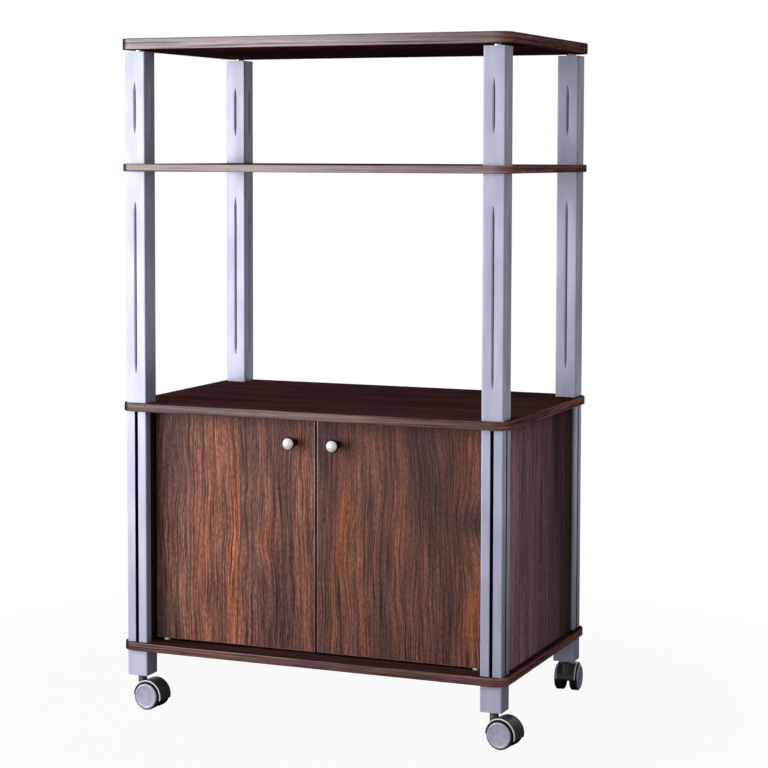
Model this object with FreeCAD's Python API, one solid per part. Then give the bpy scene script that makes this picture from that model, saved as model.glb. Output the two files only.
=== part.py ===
import FreeCAD, Part
import math
import os

from FreeCAD import Vector

# A kitchen cart: four boards carried on square posts, a cabinet with two doors
# between the lower two boards, and a swivelling twin-wheel caster under each foot.
# Lengths are millimetres. The origin is on the floor under the middle of the boards,
# X runs to the right as seen from the doors, Y runs to the back and Z runs up.

# Boards
BOARD_WIDTH = 600.0
BOARD_DEPTH = 376.0
BOARD_CORNER_RADIUS = 22.0
BOARD_EDGE_ROUNDING = 1.2
TOP_BOARD_THICKNESS = 16.0
MIDDLE_SHELF_THICKNESS = 11.0
CABINET_TOP_THICKNESS = 12.0
CABINET_FLOOR_THICKNESS = 12.0

# Post section and lengths
POST_SIZE = 32.0
POST_INSET = 8.0
POST_CORNER_RADIUS = 1.8
TUBE_WALL = 1.2
FOOT_LENGTH = 38.0
CABINET_POST_LENGTH = 342.0
MIDDLE_POST_LENGTH = 338.0
UPPER_POST_LENGTH = 162.0

# Tapered slits pressed into each face of the upper and middle posts
SLIT_WIDTH = 4.6
SLIT_DEPTH = 2.4
SLIT_TAPER = 16.0
SLIT_END_MARGIN = 42.0
CUT_OVERRUN = 1.0

# Grooved section of the cabinet posts
GROOVE_WIDTH = 5.0
GROOVE_DEPTH = 8.0
GROOVE_CLEARANCE = 0.25
PROFILE_WALL = 1.5

# Cabinet panels
SIDE_PANEL_THICKNESS = 14.0

# Studs, tube plugs and insert nuts
STUD_RADIUS = 4.0
STUD_ENGAGEMENT = 14.0
STUD_HOLE_CLEARANCE = 0.4
PLUG_LENGTH = 16.0
FIT_CLEARANCE = 0.05
NUT_RADIUS = 6.0
NUT_DEPTH = 9.0
COLLAR_RADIUS = 7.0
COLLAR_HEIGHT = 3.0
BLIND_HOLE_SPARE = 0.5

# Doors and their pivot pins
DOOR_THICKNESS = 12.0
DOOR_SETBACK = 27.0
DOOR_END_GAP = 3.4
DOOR_SIDE_GAP = 2.0
DOOR_MIDDLE_GAP = 3.0
DOOR_EDGE_ROUNDING = 1.0
PIN_RADIUS = 3.0
PIN_EDGE_DISTANCE = 15.0
PIN_DOOR_DEPTH = 16.0
PIN_BOARD_DEPTH = 7.0
PIN_COLLAR_RADIUS = 5.0
RUNNING_GAP = 0.3

# Knobs and their screws
KNOB_BELOW_TOP = 36.0
KNOB_FROM_EDGE = 32.5
KNOB_LENGTH = 26.0
KNOB_BASE_RADIUS = 5.5
KNOB_BASE_LENGTH = 2.0
KNOB_NECK_RADIUS = 4.0
KNOB_HEAD_RADIUS = 9.5
KNOB_RIM_LENGTH = 2.5
KNOB_DOME_HEIGHT = 5.0
KNOB_FLARE_LENGTH = 7.0
SCREW_RADIUS = 2.0
SCREW_GRIP = 12.0
SCREW_HEAD_RADIUS = 4.0
SCREW_HEAD_HEIGHT = 2.4

# Magnetic catches and strike plates
CATCH_FROM_MIDDLE = 60.0
CATCH_WIDTH = 46.0
CATCH_BODY_WIDTH = 26.0
CATCH_DEPTH = 15.0
CATCH_HEIGHT = 13.0
CATCH_FOOT_THICKNESS = 3.0
CATCH_SCREW_RADIUS = 1.8
STRIKE_WIDTH = 24.0
STRIKE_HEIGHT = 12.0
STRIKE_THICKNESS = 1.2
STRIKE_BELOW_TOP = 2.0

# Casters
WHEEL_RADIUS = 20.0
WHEEL_INNER_FACE = 5.0
WHEEL_RIM_WIDTH = 12.0
WHEEL_RIM_THICKNESS = 3.5
WHEEL_LIP_THICKNESS = 1.4
WHEEL_INNER_SHOULDER = 3.0
WHEEL_OUTER_SHOULDER = 1.2
WHEEL_HUB_RADIUS = 6.0
WHEEL_WEB_THICKNESS = 3.0
CAP_RECESS_DEPTH = 2.5
CAP_PROUD = 1.6
CAP_EDGE_ROUNDING = 1.8
CAP_CLEARANCE = 0.1
AXLE_RADIUS = 2.5
AXLE_END_GAP = 0.5
CASTER_TRAIL = 16.0
HOOD_WHEEL_GAP = 1.2
HOOD_WALL = 2.2
HOOD_HALF_WIDTH = 15.0
HOOD_EDGE_ROUNDING = 0.9
HOOD_WEB_HALF = 4.2
HOOD_AXLE_BOSS_RADIUS = 7.0
HOOD_BACK_DROP_DEG = 14.0
HOOD_NECK_RADIUS = 6.4
HOOD_NECK_HEIGHT = 4.3
STEM_PIVOT_RADIUS = 2.75
STEM_PIVOT_LENGTH = 20.0
STEM_COLLAR_RADIUS = 6.5
STEM_COLLAR_HEIGHT = 2.0

# Caster sizes and levels that follow from the ones above
HOOD_INNER_RADIUS = WHEEL_RADIUS + HOOD_WHEEL_GAP
HOOD_OUTER_RADIUS = HOOD_INNER_RADIUS + HOOD_WALL
HOOD_NECK_TOP = WHEEL_RADIUS + HOOD_OUTER_RADIUS + HOOD_NECK_HEIGHT
STEM_COLLAR_BOTTOM = HOOD_NECK_TOP + RUNNING_GAP
FOOT_BOTTOM = STEM_COLLAR_BOTTOM + STEM_COLLAR_HEIGHT
CAP_SEAT = WHEEL_INNER_FACE + WHEEL_RIM_WIDTH - CAP_RECESS_DEPTH
CAP_FACE = WHEEL_INNER_FACE + WHEEL_RIM_WIDTH + CAP_PROUD

# Levels of the boards, from the floor up
FLOOR_BOTTOM = FOOT_BOTTOM + FOOT_LENGTH
FLOOR_TOP = FLOOR_BOTTOM + CABINET_FLOOR_THICKNESS
CABINET_TOP_BOTTOM = FLOOR_TOP + CABINET_POST_LENGTH
CABINET_TOP_TOP = CABINET_TOP_BOTTOM + CABINET_TOP_THICKNESS
SHELF_BOTTOM = CABINET_TOP_TOP + MIDDLE_POST_LENGTH
SHELF_TOP = SHELF_BOTTOM + MIDDLE_SHELF_THICKNESS
UPPER_POST_TOP = SHELF_TOP + UPPER_POST_LENGTH
TOP_BOARD_BOTTOM = UPPER_POST_TOP + COLLAR_HEIGHT

# Places of the posts, the panels and the doors in plan
POST_X = BOARD_WIDTH / 2 - POST_INSET - POST_SIZE / 2
POST_Y = BOARD_DEPTH / 2 - POST_INSET - POST_SIZE / 2
POST_INNER_X = POST_X - POST_SIZE / 2
POST_INNER_Y = POST_Y - POST_SIZE / 2
TONGUE_THICKNESS = GROOVE_WIDTH - 2 * GROOVE_CLEARANCE
TONGUE_REACH = GROOVE_DEPTH - GROOVE_CLEARANCE
DOOR_FRONT_Y = -POST_Y - POST_SIZE / 2 + DOOR_SETBACK
DOOR_BACK_Y = DOOR_FRONT_Y + DOOR_THICKNESS
DOOR_MIDDLE_Y = DOOR_FRONT_Y + DOOR_THICKNESS / 2
DOOR_OUTER_X = POST_INNER_X - DOOR_SIDE_GAP
DOOR_FREE_X = DOOR_MIDDLE_GAP / 2
DOOR_BOTTOM = FLOOR_TOP + DOOR_END_GAP
DOOR_TOP = CABINET_TOP_BOTTOM - DOOR_END_GAP
PIN_X = DOOR_OUTER_X - PIN_EDGE_DISTANCE
KNOB_X = DOOR_FREE_X + KNOB_FROM_EDGE
KNOB_Z = CABINET_TOP_BOTTOM - KNOB_BELOW_TOP
CATCH_X = DOOR_FREE_X + CATCH_FROM_MIDDLE
CATCH_FRONT_Y = DOOR_BACK_Y + STRIKE_THICKNESS + RUNNING_GAP

CORNERS = {
    "front_left": (-1, -1),
    "front_right": (1, -1),
    "back_left": (-1, 1),
    "back_right": (1, 1),
}

# Which way each caster trails at rest, turned from the right-hand side, in degrees
CASTER_TURN = {
    "front_left": -4.0,
    "front_right": -8.0,
    "back_left": 180.0,
    "back_right": 94.0,
}

QUARTER_TURNS = (0.0, 90.0, 180.0, 270.0)
UP = Vector(0, 0, 1)
BACK = Vector(0, 1, 0)
ORIGIN = Vector(0, 0, 0)


def cylinder(radius, bottom, top, x=0.0, y=0.0):
    """Upright cylinder between two levels."""
    return Part.makeCylinder(radius, top - bottom, Vector(x, y, bottom))


def cross_cylinder(radius, start_y, end_y, x, z):
    """Cylinder lying along Y between two places."""
    return Part.makeCylinder(radius, end_y - start_y, Vector(x, start_y, z), BACK)


def block(low, high):
    """Box between two opposite corners."""
    size = high.sub(low)
    return Part.makeBox(size.x, size.y, size.z, low)


def turned(shape, degrees):
    """Copy of a shape turned about the Z axis."""
    copy = shape.copy()
    copy.rotate(ORIGIN, UP, degrees)
    return copy


def moved(shape, x, y, z):
    """Copy of a shape moved by x, y, z."""
    copy = shape.copy()
    copy.translate(Vector(x, y, z))
    return copy


def at_corners(shape, z=0.0):
    """One copy of a shape on each post's axis, as one group."""
    return Part.makeCompound([moved(shape, sx * POST_X, sy * POST_Y, z) for sx, sy in CORNERS.values()])


def rounded_rectangle(width, depth, radius):
    """Closed outline of a rectangle with round corners, centred on the origin."""
    half_w = width / 2
    half_d = depth / 2
    diagonal = radius * math.sqrt(0.5)
    corners = ((1, 1), (-1, 1), (-1, -1), (1, -1))
    arcs = []
    for index, (sx, sy) in enumerate(corners):
        centre = Vector(sx * (half_w - radius), sy * (half_d - radius), 0)
        along_x = centre.add(Vector(sx * radius, 0, 0))
        along_y = centre.add(Vector(0, sy * radius, 0))
        middle = centre.add(Vector(sx * diagonal, sy * diagonal, 0))
        first, last = (along_x, along_y) if index % 2 == 0 else (along_y, along_x)
        arcs.append((first, middle, last))
    edges = []
    for arc, following in zip(arcs, arcs[1:] + arcs[:1]):
        edges.append(Part.Arc(*arc).toShape())
        edges.append(Part.LineSegment(arc[2], following[0]).toShape())
    return Part.Wire(edges)


def prism(outline, length):
    """Solid made by raising a flat outline along Z."""
    return Part.Face(outline).extrude(Vector(0, 0, length))


def revolved(edges, base, axis):
    """Solid of revolution of a closed half section."""
    return Part.Face(Part.Wire(edges)).revolve(base, axis, 360)


def polyline(points):
    """Straight edges through a list of points, in order."""
    return [Part.LineSegment(a, b).toShape() for a, b in zip(points, points[1:])]


def level_edges(solid):
    """Edges that lie flat at one level."""
    return [edge for edge in solid.Edges if edge.BoundBox.ZLength < FIT_CLEARANCE]


def plain_board(thickness):
    """Board with round corners and softened upper and lower edges, bottom at zero."""
    board = prism(rounded_rectangle(BOARD_WIDTH, BOARD_DEPTH, BOARD_CORNER_RADIUS), thickness)
    return board.makeFillet(BOARD_EDGE_ROUNDING, level_edges(board))


def drilled_board(thickness, bottom):
    """Board at its level, with a stud hole through it over each post."""
    hole = cylinder(STUD_RADIUS + STUD_HOLE_CLEARANCE, 0, thickness)
    board = plain_board(thickness).cut(at_corners(hole).Solids)
    return moved(board, 0, 0, bottom)


def pin_holes(bottom, top):
    """The two round sockets that the door pins turn in."""
    radius = PIN_RADIUS + FIT_CLEARANCE
    return [cylinder(radius, bottom, top, side * PIN_X, DOOR_MIDDLE_Y) for side in (-1, 1)]


def make_boards():
    """The four boards: top, middle shelf, cabinet top and cabinet floor."""
    nut_hole = cylinder(NUT_RADIUS + FIT_CLEARANCE, 0, NUT_DEPTH + BLIND_HOLE_SPARE)
    top = plain_board(TOP_BOARD_THICKNESS).cut(at_corners(nut_hole).Solids)
    socket_depth = PIN_BOARD_DEPTH + BLIND_HOLE_SPARE
    cabinet_top = drilled_board(CABINET_TOP_THICKNESS, CABINET_TOP_BOTTOM)
    cabinet_floor = drilled_board(CABINET_FLOOR_THICKNESS, FLOOR_BOTTOM)
    return {
        "top_board": moved(top, 0, 0, TOP_BOARD_BOTTOM),
        "middle_shelf": drilled_board(MIDDLE_SHELF_THICKNESS, SHELF_BOTTOM),
        "cabinet_top": cabinet_top.cut(pin_holes(CABINET_TOP_BOTTOM, CABINET_TOP_BOTTOM + socket_depth)),
        "cabinet_floor": cabinet_floor.cut(pin_holes(FLOOR_TOP - socket_depth, FLOOR_TOP)),
    }


def slit_wedge(face, half_width, depth, bottom, top):
    """Long V-shaped wedge, pointed at both ends, pressed into the face at y = -face."""
    reach = (depth + CUT_OVERRUN) / depth
    sections = []
    for z in (bottom + SLIT_TAPER, top - SLIT_TAPER):
        left = Vector(-half_width * reach, -face - CUT_OVERRUN, z)
        right = Vector(half_width * reach, -face - CUT_OVERRUN, z)
        root = Vector(0, -face + depth, z)
        sections.append(Part.makePolygon([left, right, root, left]))
    lower_point = Part.Vertex(0, -face, bottom)
    upper_point = Part.Vertex(0, -face, top)
    return Part.makeLoft([lower_point, *sections, upper_point], True, True)


def tube_bodies(length):
    """The outer prism and the hollow of a square tube, both from zero up."""
    bore = POST_SIZE - 2 * TUBE_WALL
    inner_radius = max(POST_CORNER_RADIUS - TUBE_WALL, FIT_CLEARANCE)
    outer = prism(rounded_rectangle(POST_SIZE, POST_SIZE, POST_CORNER_RADIUS), length)
    inner = prism(rounded_rectangle(bore, bore, inner_radius), length)
    return outer, inner


def slit_tube(length):
    """Square tube with one tapered slit pressed into the middle of each face."""
    outer, inner = tube_bodies(length)
    slope = SLIT_WIDTH / 2 / SLIT_DEPTH
    wall_along_depth = TUBE_WALL * math.hypot(1, slope) / slope
    inner_depth = SLIT_DEPTH + wall_along_depth - TUBE_WALL
    start = SLIT_END_MARGIN
    end = length - SLIT_END_MARGIN
    groove = slit_wedge(POST_SIZE / 2, SLIT_WIDTH / 2, SLIT_DEPTH, start, end)
    ridge = slit_wedge(POST_SIZE / 2 - TUBE_WALL, inner_depth * slope, inner_depth,
                       start - TUBE_WALL, end + TUBE_WALL)
    outer = outer.cut([turned(groove, angle) for angle in QUARTER_TURNS])
    inner = inner.cut([turned(ridge, angle) for angle in QUARTER_TURNS])
    return outer.cut(inner)


def cabinet_post():
    """Extruded post: a groove along each face, four hollow corners and a stud channel."""
    outer = prism(rounded_rectangle(POST_SIZE, POST_SIZE, POST_CORNER_RADIUS), CABINET_POST_LENGTH)
    half_groove = GROOVE_WIDTH / 2
    groove_floor = POST_SIZE / 2 - GROOVE_DEPTH
    groove = block(Vector(-half_groove, groove_floor, 0),
                   Vector(half_groove, POST_SIZE / 2, CABINET_POST_LENGTH))
    chamber_low = half_groove + PROFILE_WALL
    chamber_high = POST_SIZE / 2 - PROFILE_WALL
    chamber = block(Vector(chamber_low, chamber_low, 0),
                    Vector(chamber_high, chamber_high, CABINET_POST_LENGTH))
    channel = cylinder(STUD_RADIUS + FIT_CLEARANCE, 0, CABINET_POST_LENGTH)
    cuts = [channel]
    for angle in QUARTER_TURNS:
        cuts.append(turned(groove, angle))
        cuts.append(turned(chamber, angle))
    return outer.cut(cuts)


def make_posts():
    """Twelve posts in three tiers, and the four feet as one group."""
    tiers = {
        "upper_post": (slit_tube(UPPER_POST_LENGTH), SHELF_TOP),
        "middle_post": (slit_tube(MIDDLE_POST_LENGTH), CABINET_TOP_TOP),
        "cabinet_post": (cabinet_post(), FLOOR_TOP),
    }
    nodes = {}
    for tier, (post, bottom) in tiers.items():
        for corner, (sx, sy) in CORNERS.items():
            nodes[tier + "_" + corner] = moved(post, sx * POST_X, sy * POST_Y, bottom)
    outer, inner = tube_bodies(FOOT_LENGTH)
    nodes["foot_tubes"] = at_corners(outer.cut(inner), FOOT_BOTTOM)
    return nodes


def tube_plug(bottom):
    """Plug that fills the end of a square tube, threaded for a stud."""
    size = POST_SIZE - 2 * TUBE_WALL - 2 * FIT_CLEARANCE
    radius = max(POST_CORNER_RADIUS - TUBE_WALL, FIT_CLEARANCE)
    plug = prism(rounded_rectangle(size, size, radius), PLUG_LENGTH)
    bore = cylinder(STUD_RADIUS + FIT_CLEARANCE, 0, PLUG_LENGTH)
    return moved(plug.cut(bore), 0, 0, bottom)


def insert_nut():
    """Flanged nut let into the top board, whose collar stands the board off the post."""
    collar = cylinder(COLLAR_RADIUS, UPPER_POST_TOP, TOP_BOARD_BOTTOM)
    body = cylinder(NUT_RADIUS, TOP_BOARD_BOTTOM, TOP_BOARD_BOTTOM + NUT_DEPTH)
    bore = cylinder(STUD_RADIUS + FIT_CLEARANCE, UPPER_POST_TOP, TOP_BOARD_BOTTOM + NUT_DEPTH)
    return collar.fuse(body).removeSplitter().cut(bore)


def make_fastenings():
    """Plugs, studs and nuts that clamp the boards between the posts."""
    plug_levels = (
        FLOOR_BOTTOM - PLUG_LENGTH,
        CABINET_TOP_TOP,
        SHELF_BOTTOM - PLUG_LENGTH,
        SHELF_TOP,
        UPPER_POST_TOP - PLUG_LENGTH,
    )
    stud_spans = (
        (FLOOR_BOTTOM - STUD_ENGAGEMENT, FLOOR_TOP + STUD_ENGAGEMENT),
        (CABINET_TOP_BOTTOM - STUD_ENGAGEMENT, CABINET_TOP_TOP + STUD_ENGAGEMENT),
        (SHELF_BOTTOM - STUD_ENGAGEMENT, SHELF_TOP + STUD_ENGAGEMENT),
        (UPPER_POST_TOP - STUD_ENGAGEMENT, TOP_BOARD_BOTTOM + NUT_DEPTH),
    )
    plugs = [solid for level in plug_levels for solid in at_corners(tube_plug(level)).Solids]
    studs = [solid for low, high in stud_spans
             for solid in at_corners(cylinder(STUD_RADIUS, low, high)).Solids]
    return {
        "tube_end_plugs": Part.makeCompound(plugs),
        "connecting_studs": Part.makeCompound(studs),
        "top_insert_nuts": at_corners(insert_nut()),
        "caster_sockets": at_corners(tube_plug(FOOT_BOTTOM)),
    }


def side_panel(side):
    """Side panel whose front and back edges are rebated to a tongue for the post grooves."""
    inner = POST_X - TONGUE_THICKNESS / 2
    tongue = block(Vector(inner, -POST_INNER_Y - TONGUE_REACH, FLOOR_TOP),
                   Vector(inner + TONGUE_THICKNESS, POST_INNER_Y + TONGUE_REACH, CABINET_TOP_BOTTOM))
    face_edge = POST_INNER_Y - GROOVE_CLEARANCE
    body = block(Vector(inner, -face_edge, FLOOR_TOP),
                 Vector(inner + SIDE_PANEL_THICKNESS, face_edge, CABINET_TOP_BOTTOM))
    panel = tongue.fuse(body).removeSplitter()
    return panel if side > 0 else turned(panel, 180)


def make_panels():
    """Two side panels and the thin back, all held in the grooves of the cabinet posts."""
    half_width = POST_INNER_X + TONGUE_REACH
    back = block(Vector(-half_width, POST_Y - TONGUE_THICKNESS / 2, FLOOR_TOP),
                 Vector(half_width, POST_Y + TONGUE_THICKNESS / 2, CABINET_TOP_BOTTOM))
    return {
        "left_side_panel": side_panel(-1),
        "right_side_panel": side_panel(1),
        "back_panel": back,
    }


def door_pins(side):
    """Upper and lower pivot pins of one door, each with a collar that spaces the door."""
    x = side * PIN_X
    lower = cylinder(PIN_RADIUS, FLOOR_TOP - PIN_BOARD_DEPTH, DOOR_BOTTOM + PIN_DOOR_DEPTH, x, DOOR_MIDDLE_Y)
    lower_collar = cylinder(PIN_COLLAR_RADIUS, FLOOR_TOP + RUNNING_GAP, DOOR_BOTTOM, x, DOOR_MIDDLE_Y)
    upper = cylinder(PIN_RADIUS, DOOR_TOP - PIN_DOOR_DEPTH, CABINET_TOP_BOTTOM + PIN_BOARD_DEPTH,
                     x, DOOR_MIDDLE_Y)
    upper_collar = cylinder(PIN_COLLAR_RADIUS, DOOR_TOP, CABINET_TOP_BOTTOM - RUNNING_GAP, x, DOOR_MIDDLE_Y)
    return Part.makeCompound([lower.fuse(lower_collar), upper.fuse(upper_collar)])


def door_leaf(side):
    """Flat door with softened front edges, pin holes in its ends and a knob screw hole."""
    near, far = sorted((side * DOOR_FREE_X, side * DOOR_OUTER_X))
    leaf = block(Vector(near, DOOR_FRONT_Y, DOOR_BOTTOM), Vector(far, DOOR_BACK_Y, DOOR_TOP))
    front = [edge for edge in leaf.Edges if edge.BoundBox.YMax < DOOR_MIDDLE_Y]
    leaf = leaf.makeFillet(DOOR_EDGE_ROUNDING, front)
    hole_radius = PIN_RADIUS + FIT_CLEARANCE
    depth = PIN_DOOR_DEPTH + BLIND_HOLE_SPARE
    cuts = [
        cylinder(hole_radius, DOOR_BOTTOM, DOOR_BOTTOM + depth, side * PIN_X, DOOR_MIDDLE_Y),
        cylinder(hole_radius, DOOR_TOP - depth, DOOR_TOP, side * PIN_X, DOOR_MIDDLE_Y),
        cross_cylinder(SCREW_RADIUS + FIT_CLEARANCE, DOOR_FRONT_Y, DOOR_BACK_Y, side * KNOB_X, KNOB_Z),
    ]
    return leaf.cut(cuts)


def knob(side):
    """Turned knob: a small foot, a slim neck that flares into a domed head, and a screw hole."""
    x = side * KNOB_X

    def point(radius, out):
        return Vector(x + radius, DOOR_FRONT_Y - out, KNOB_Z)

    rim_end = KNOB_LENGTH - KNOB_DOME_HEIGHT
    rim_start = rim_end - KNOB_RIM_LENGTH
    flare_start = rim_start - KNOB_FLARE_LENGTH
    hollow = 1 - math.sqrt(0.5)
    flare_middle = point(KNOB_NECK_RADIUS + (KNOB_HEAD_RADIUS - KNOB_NECK_RADIUS) * hollow,
                         rim_start - KNOB_FLARE_LENGTH * hollow)
    sphere = (KNOB_HEAD_RADIUS ** 2 + KNOB_DOME_HEIGHT ** 2) / (2 * KNOB_DOME_HEIGHT)
    half_angle = math.asin(KNOB_HEAD_RADIUS / sphere) / 2
    dome_middle = point(sphere * math.sin(half_angle), KNOB_LENGTH - sphere * (1 - math.cos(half_angle)))
    edges = polyline([point(0, KNOB_LENGTH), point(0, 0), point(KNOB_BASE_RADIUS, 0),
                      point(KNOB_BASE_RADIUS, KNOB_BASE_LENGTH), point(KNOB_NECK_RADIUS, flare_start)])
    edges.append(Part.Arc(point(KNOB_NECK_RADIUS, flare_start), flare_middle,
                          point(KNOB_HEAD_RADIUS, rim_start)).toShape())
    edges += polyline([point(KNOB_HEAD_RADIUS, rim_start), point(KNOB_HEAD_RADIUS, rim_end)])
    edges.append(Part.Arc(point(KNOB_HEAD_RADIUS, rim_end), dome_middle, point(0, KNOB_LENGTH)).toShape())
    body = revolved(edges, Vector(x, DOOR_FRONT_Y, KNOB_Z), BACK)
    hole_end = DOOR_FRONT_Y - SCREW_GRIP - BLIND_HOLE_SPARE
    return body.cut(cross_cylinder(SCREW_RADIUS + FIT_CLEARANCE, hole_end, DOOR_FRONT_Y, x, KNOB_Z))


def knob_screw(side):
    """Screw through the door from behind into the knob."""
    x = side * KNOB_X
    shank = cross_cylinder(SCREW_RADIUS, DOOR_FRONT_Y - SCREW_GRIP, DOOR_BACK_Y, x, KNOB_Z)
    head = cross_cylinder(SCREW_HEAD_RADIUS, DOOR_BACK_Y, DOOR_BACK_Y + SCREW_HEAD_HEIGHT, x, KNOB_Z)
    return shank.fuse(head)


def strike_plate(side):
    """Steel plate on the back of the door, level with the catch."""
    x = side * CATCH_X
    top = DOOR_TOP - STRIKE_BELOW_TOP
    low = Vector(x - STRIKE_WIDTH / 2, DOOR_BACK_Y, top - STRIKE_HEIGHT)
    high = Vector(x + STRIKE_WIDTH / 2, DOOR_BACK_Y + STRIKE_THICKNESS, top)
    return block(low, high)


def magnetic_catch(side):
    """Magnet housing hung from a slim foot screwed up into the cabinet top."""
    x = side * CATCH_X
    foot_bottom = CABINET_TOP_BOTTOM - CATCH_FOOT_THICKNESS
    back = CATCH_FRONT_Y + CATCH_DEPTH
    housing = block(Vector(x - CATCH_BODY_WIDTH / 2, CATCH_FRONT_Y, CABINET_TOP_BOTTOM - CATCH_HEIGHT),
                    Vector(x + CATCH_BODY_WIDTH / 2, back, foot_bottom))
    foot = moved(prism(rounded_rectangle(CATCH_WIDTH, CATCH_DEPTH, CATCH_FOOT_THICKNESS), CATCH_FOOT_THICKNESS),
                 x, (CATCH_FRONT_Y + back) / 2, foot_bottom)
    hole_offset = (CATCH_WIDTH + CATCH_BODY_WIDTH) / 4
    holes = [cylinder(CATCH_SCREW_RADIUS, foot_bottom, CABINET_TOP_BOTTOM, x + way * hole_offset,
                      (CATCH_FRONT_Y + back) / 2) for way in (-1, 1)]
    return housing.fuse(foot).cut(holes)


def make_doors():
    """Both doors with their pins, knobs, screws and strike plates, and the two catches."""
    nodes = {}
    for name, side in (("left", -1), ("right", 1)):
        nodes[name + "_door"] = door_leaf(side)
        nodes[name + "_door_pins"] = door_pins(side)
        nodes[name + "_knob"] = knob(side)
        nodes[name + "_knob_screw"] = knob_screw(side)
        nodes[name + "_strike_plate"] = strike_plate(side)
    nodes["magnetic_catches"] = Part.makeCompound([magnetic_catch(side) for side in (-1, 1)])
    return nodes


def caster_stem():
    """Stem that screws into the foot, with a collar and the pivot that the hood turns on."""
    thread = cylinder(STUD_RADIUS, FOOT_BOTTOM, FOOT_BOTTOM + STUD_ENGAGEMENT)
    collar = cylinder(STEM_COLLAR_RADIUS, STEM_COLLAR_BOTTOM, FOOT_BOTTOM)
    pivot = cylinder(STEM_PIVOT_RADIUS, STEM_COLLAR_BOTTOM - STEM_PIVOT_LENGTH, STEM_COLLAR_BOTTOM)
    return thread.fuse([collar, pivot])


def hood_arch():
    """Arched cover over both wheels, lower on the trailing side, with its outer rims rounded."""
    drop = math.radians(-HOOD_BACK_DROP_DEG)
    middle = math.radians(90 - HOOD_BACK_DROP_DEG / 2)

    def point(radius, angle):
        return Vector(CASTER_TRAIL + radius * math.cos(angle), -HOOD_HALF_WIDTH,
                      WHEEL_RADIUS + radius * math.sin(angle))

    outer = [point(HOOD_OUTER_RADIUS, angle) for angle in (drop, middle, math.pi)]
    inner = [point(HOOD_INNER_RADIUS, angle) for angle in (math.pi, middle, drop)]
    edges = [Part.Arc(*outer).toShape(), Part.LineSegment(outer[2], inner[0]).toShape(),
             Part.Arc(*inner).toShape(), Part.LineSegment(inner[2], outer[0]).toShape()]
    arch = Part.Face(Part.Wire(edges)).extrude(Vector(0, 2 * HOOD_HALF_WIDTH, 0))
    rims = [edge for edge in arch.Edges
            if isinstance(edge.Curve, Part.Circle) and edge.Curve.Radius > HOOD_OUTER_RADIUS - FIT_CLEARANCE]
    return arch.makeFillet(HOOD_EDGE_ROUNDING, rims)


def hood_web():
    """Upright web between the wheels, with a round boss for the axle below it."""
    def disc(radius):
        return cross_cylinder(radius, -HOOD_WEB_HALF, HOOD_WEB_HALF, CASTER_TRAIL, WHEEL_RADIUS)

    full = disc(HOOD_INNER_RADIUS + HOOD_WALL / 2)
    reach = 2 * HOOD_OUTER_RADIUS
    below = block(Vector(-reach, -reach, WHEEL_RADIUS - reach), Vector(2 * reach, reach, WHEEL_RADIUS))
    return full.cut(below).fuse(disc(HOOD_AXLE_BOSS_RADIUS))


def caster_hood():
    """Hood of one caster: arch, web and swivel neck, bored for the stem and the axle."""
    neck = cylinder(HOOD_NECK_RADIUS, WHEEL_RADIUS, HOOD_NECK_TOP)
    wheel_room = [cross_cylinder(HOOD_INNER_RADIUS, *span, CASTER_TRAIL, WHEEL_RADIUS)
                  for span in ((-HOOD_OUTER_RADIUS, -HOOD_WEB_HALF), (HOOD_WEB_HALF, HOOD_OUTER_RADIUS))]
    body = hood_arch().fuse([hood_web(), neck.cut(wheel_room)]).removeSplitter()
    pivot_bottom = STEM_COLLAR_BOTTOM - STEM_PIVOT_LENGTH - BLIND_HOLE_SPARE
    pivot_bore = cylinder(STEM_PIVOT_RADIUS + FIT_CLEARANCE, pivot_bottom, HOOD_NECK_TOP)
    axle_bore = cross_cylinder(AXLE_RADIUS + FIT_CLEARANCE, -HOOD_WEB_HALF, HOOD_WEB_HALF,
                               CASTER_TRAIL, WHEEL_RADIUS)
    return body.cut([pivot_bore, axle_bore])


def caster_axle():
    """Axle through the web, ending just short of the wheel caps."""
    end = CAP_SEAT - AXLE_END_GAP
    return cross_cylinder(AXLE_RADIUS, -end, end, CASTER_TRAIL, WHEEL_RADIUS)


def wheel_section_point(radius, out):
    """Point of the wheel's half section, at a radius and a distance out from the middle."""
    return Vector(CASTER_TRAIL, out, WHEEL_RADIUS + radius)


def tread_shoulder(face, size, inwards):
    """Quarter round from a side face of the wheel up to its tread."""
    hollow = size * (1 - math.sqrt(0.5))
    return (wheel_section_point(WHEEL_RADIUS - size, face),
            wheel_section_point(WHEEL_RADIUS - hollow, face + inwards * hollow),
            wheel_section_point(WHEEL_RADIUS, face + inwards * size))


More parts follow.
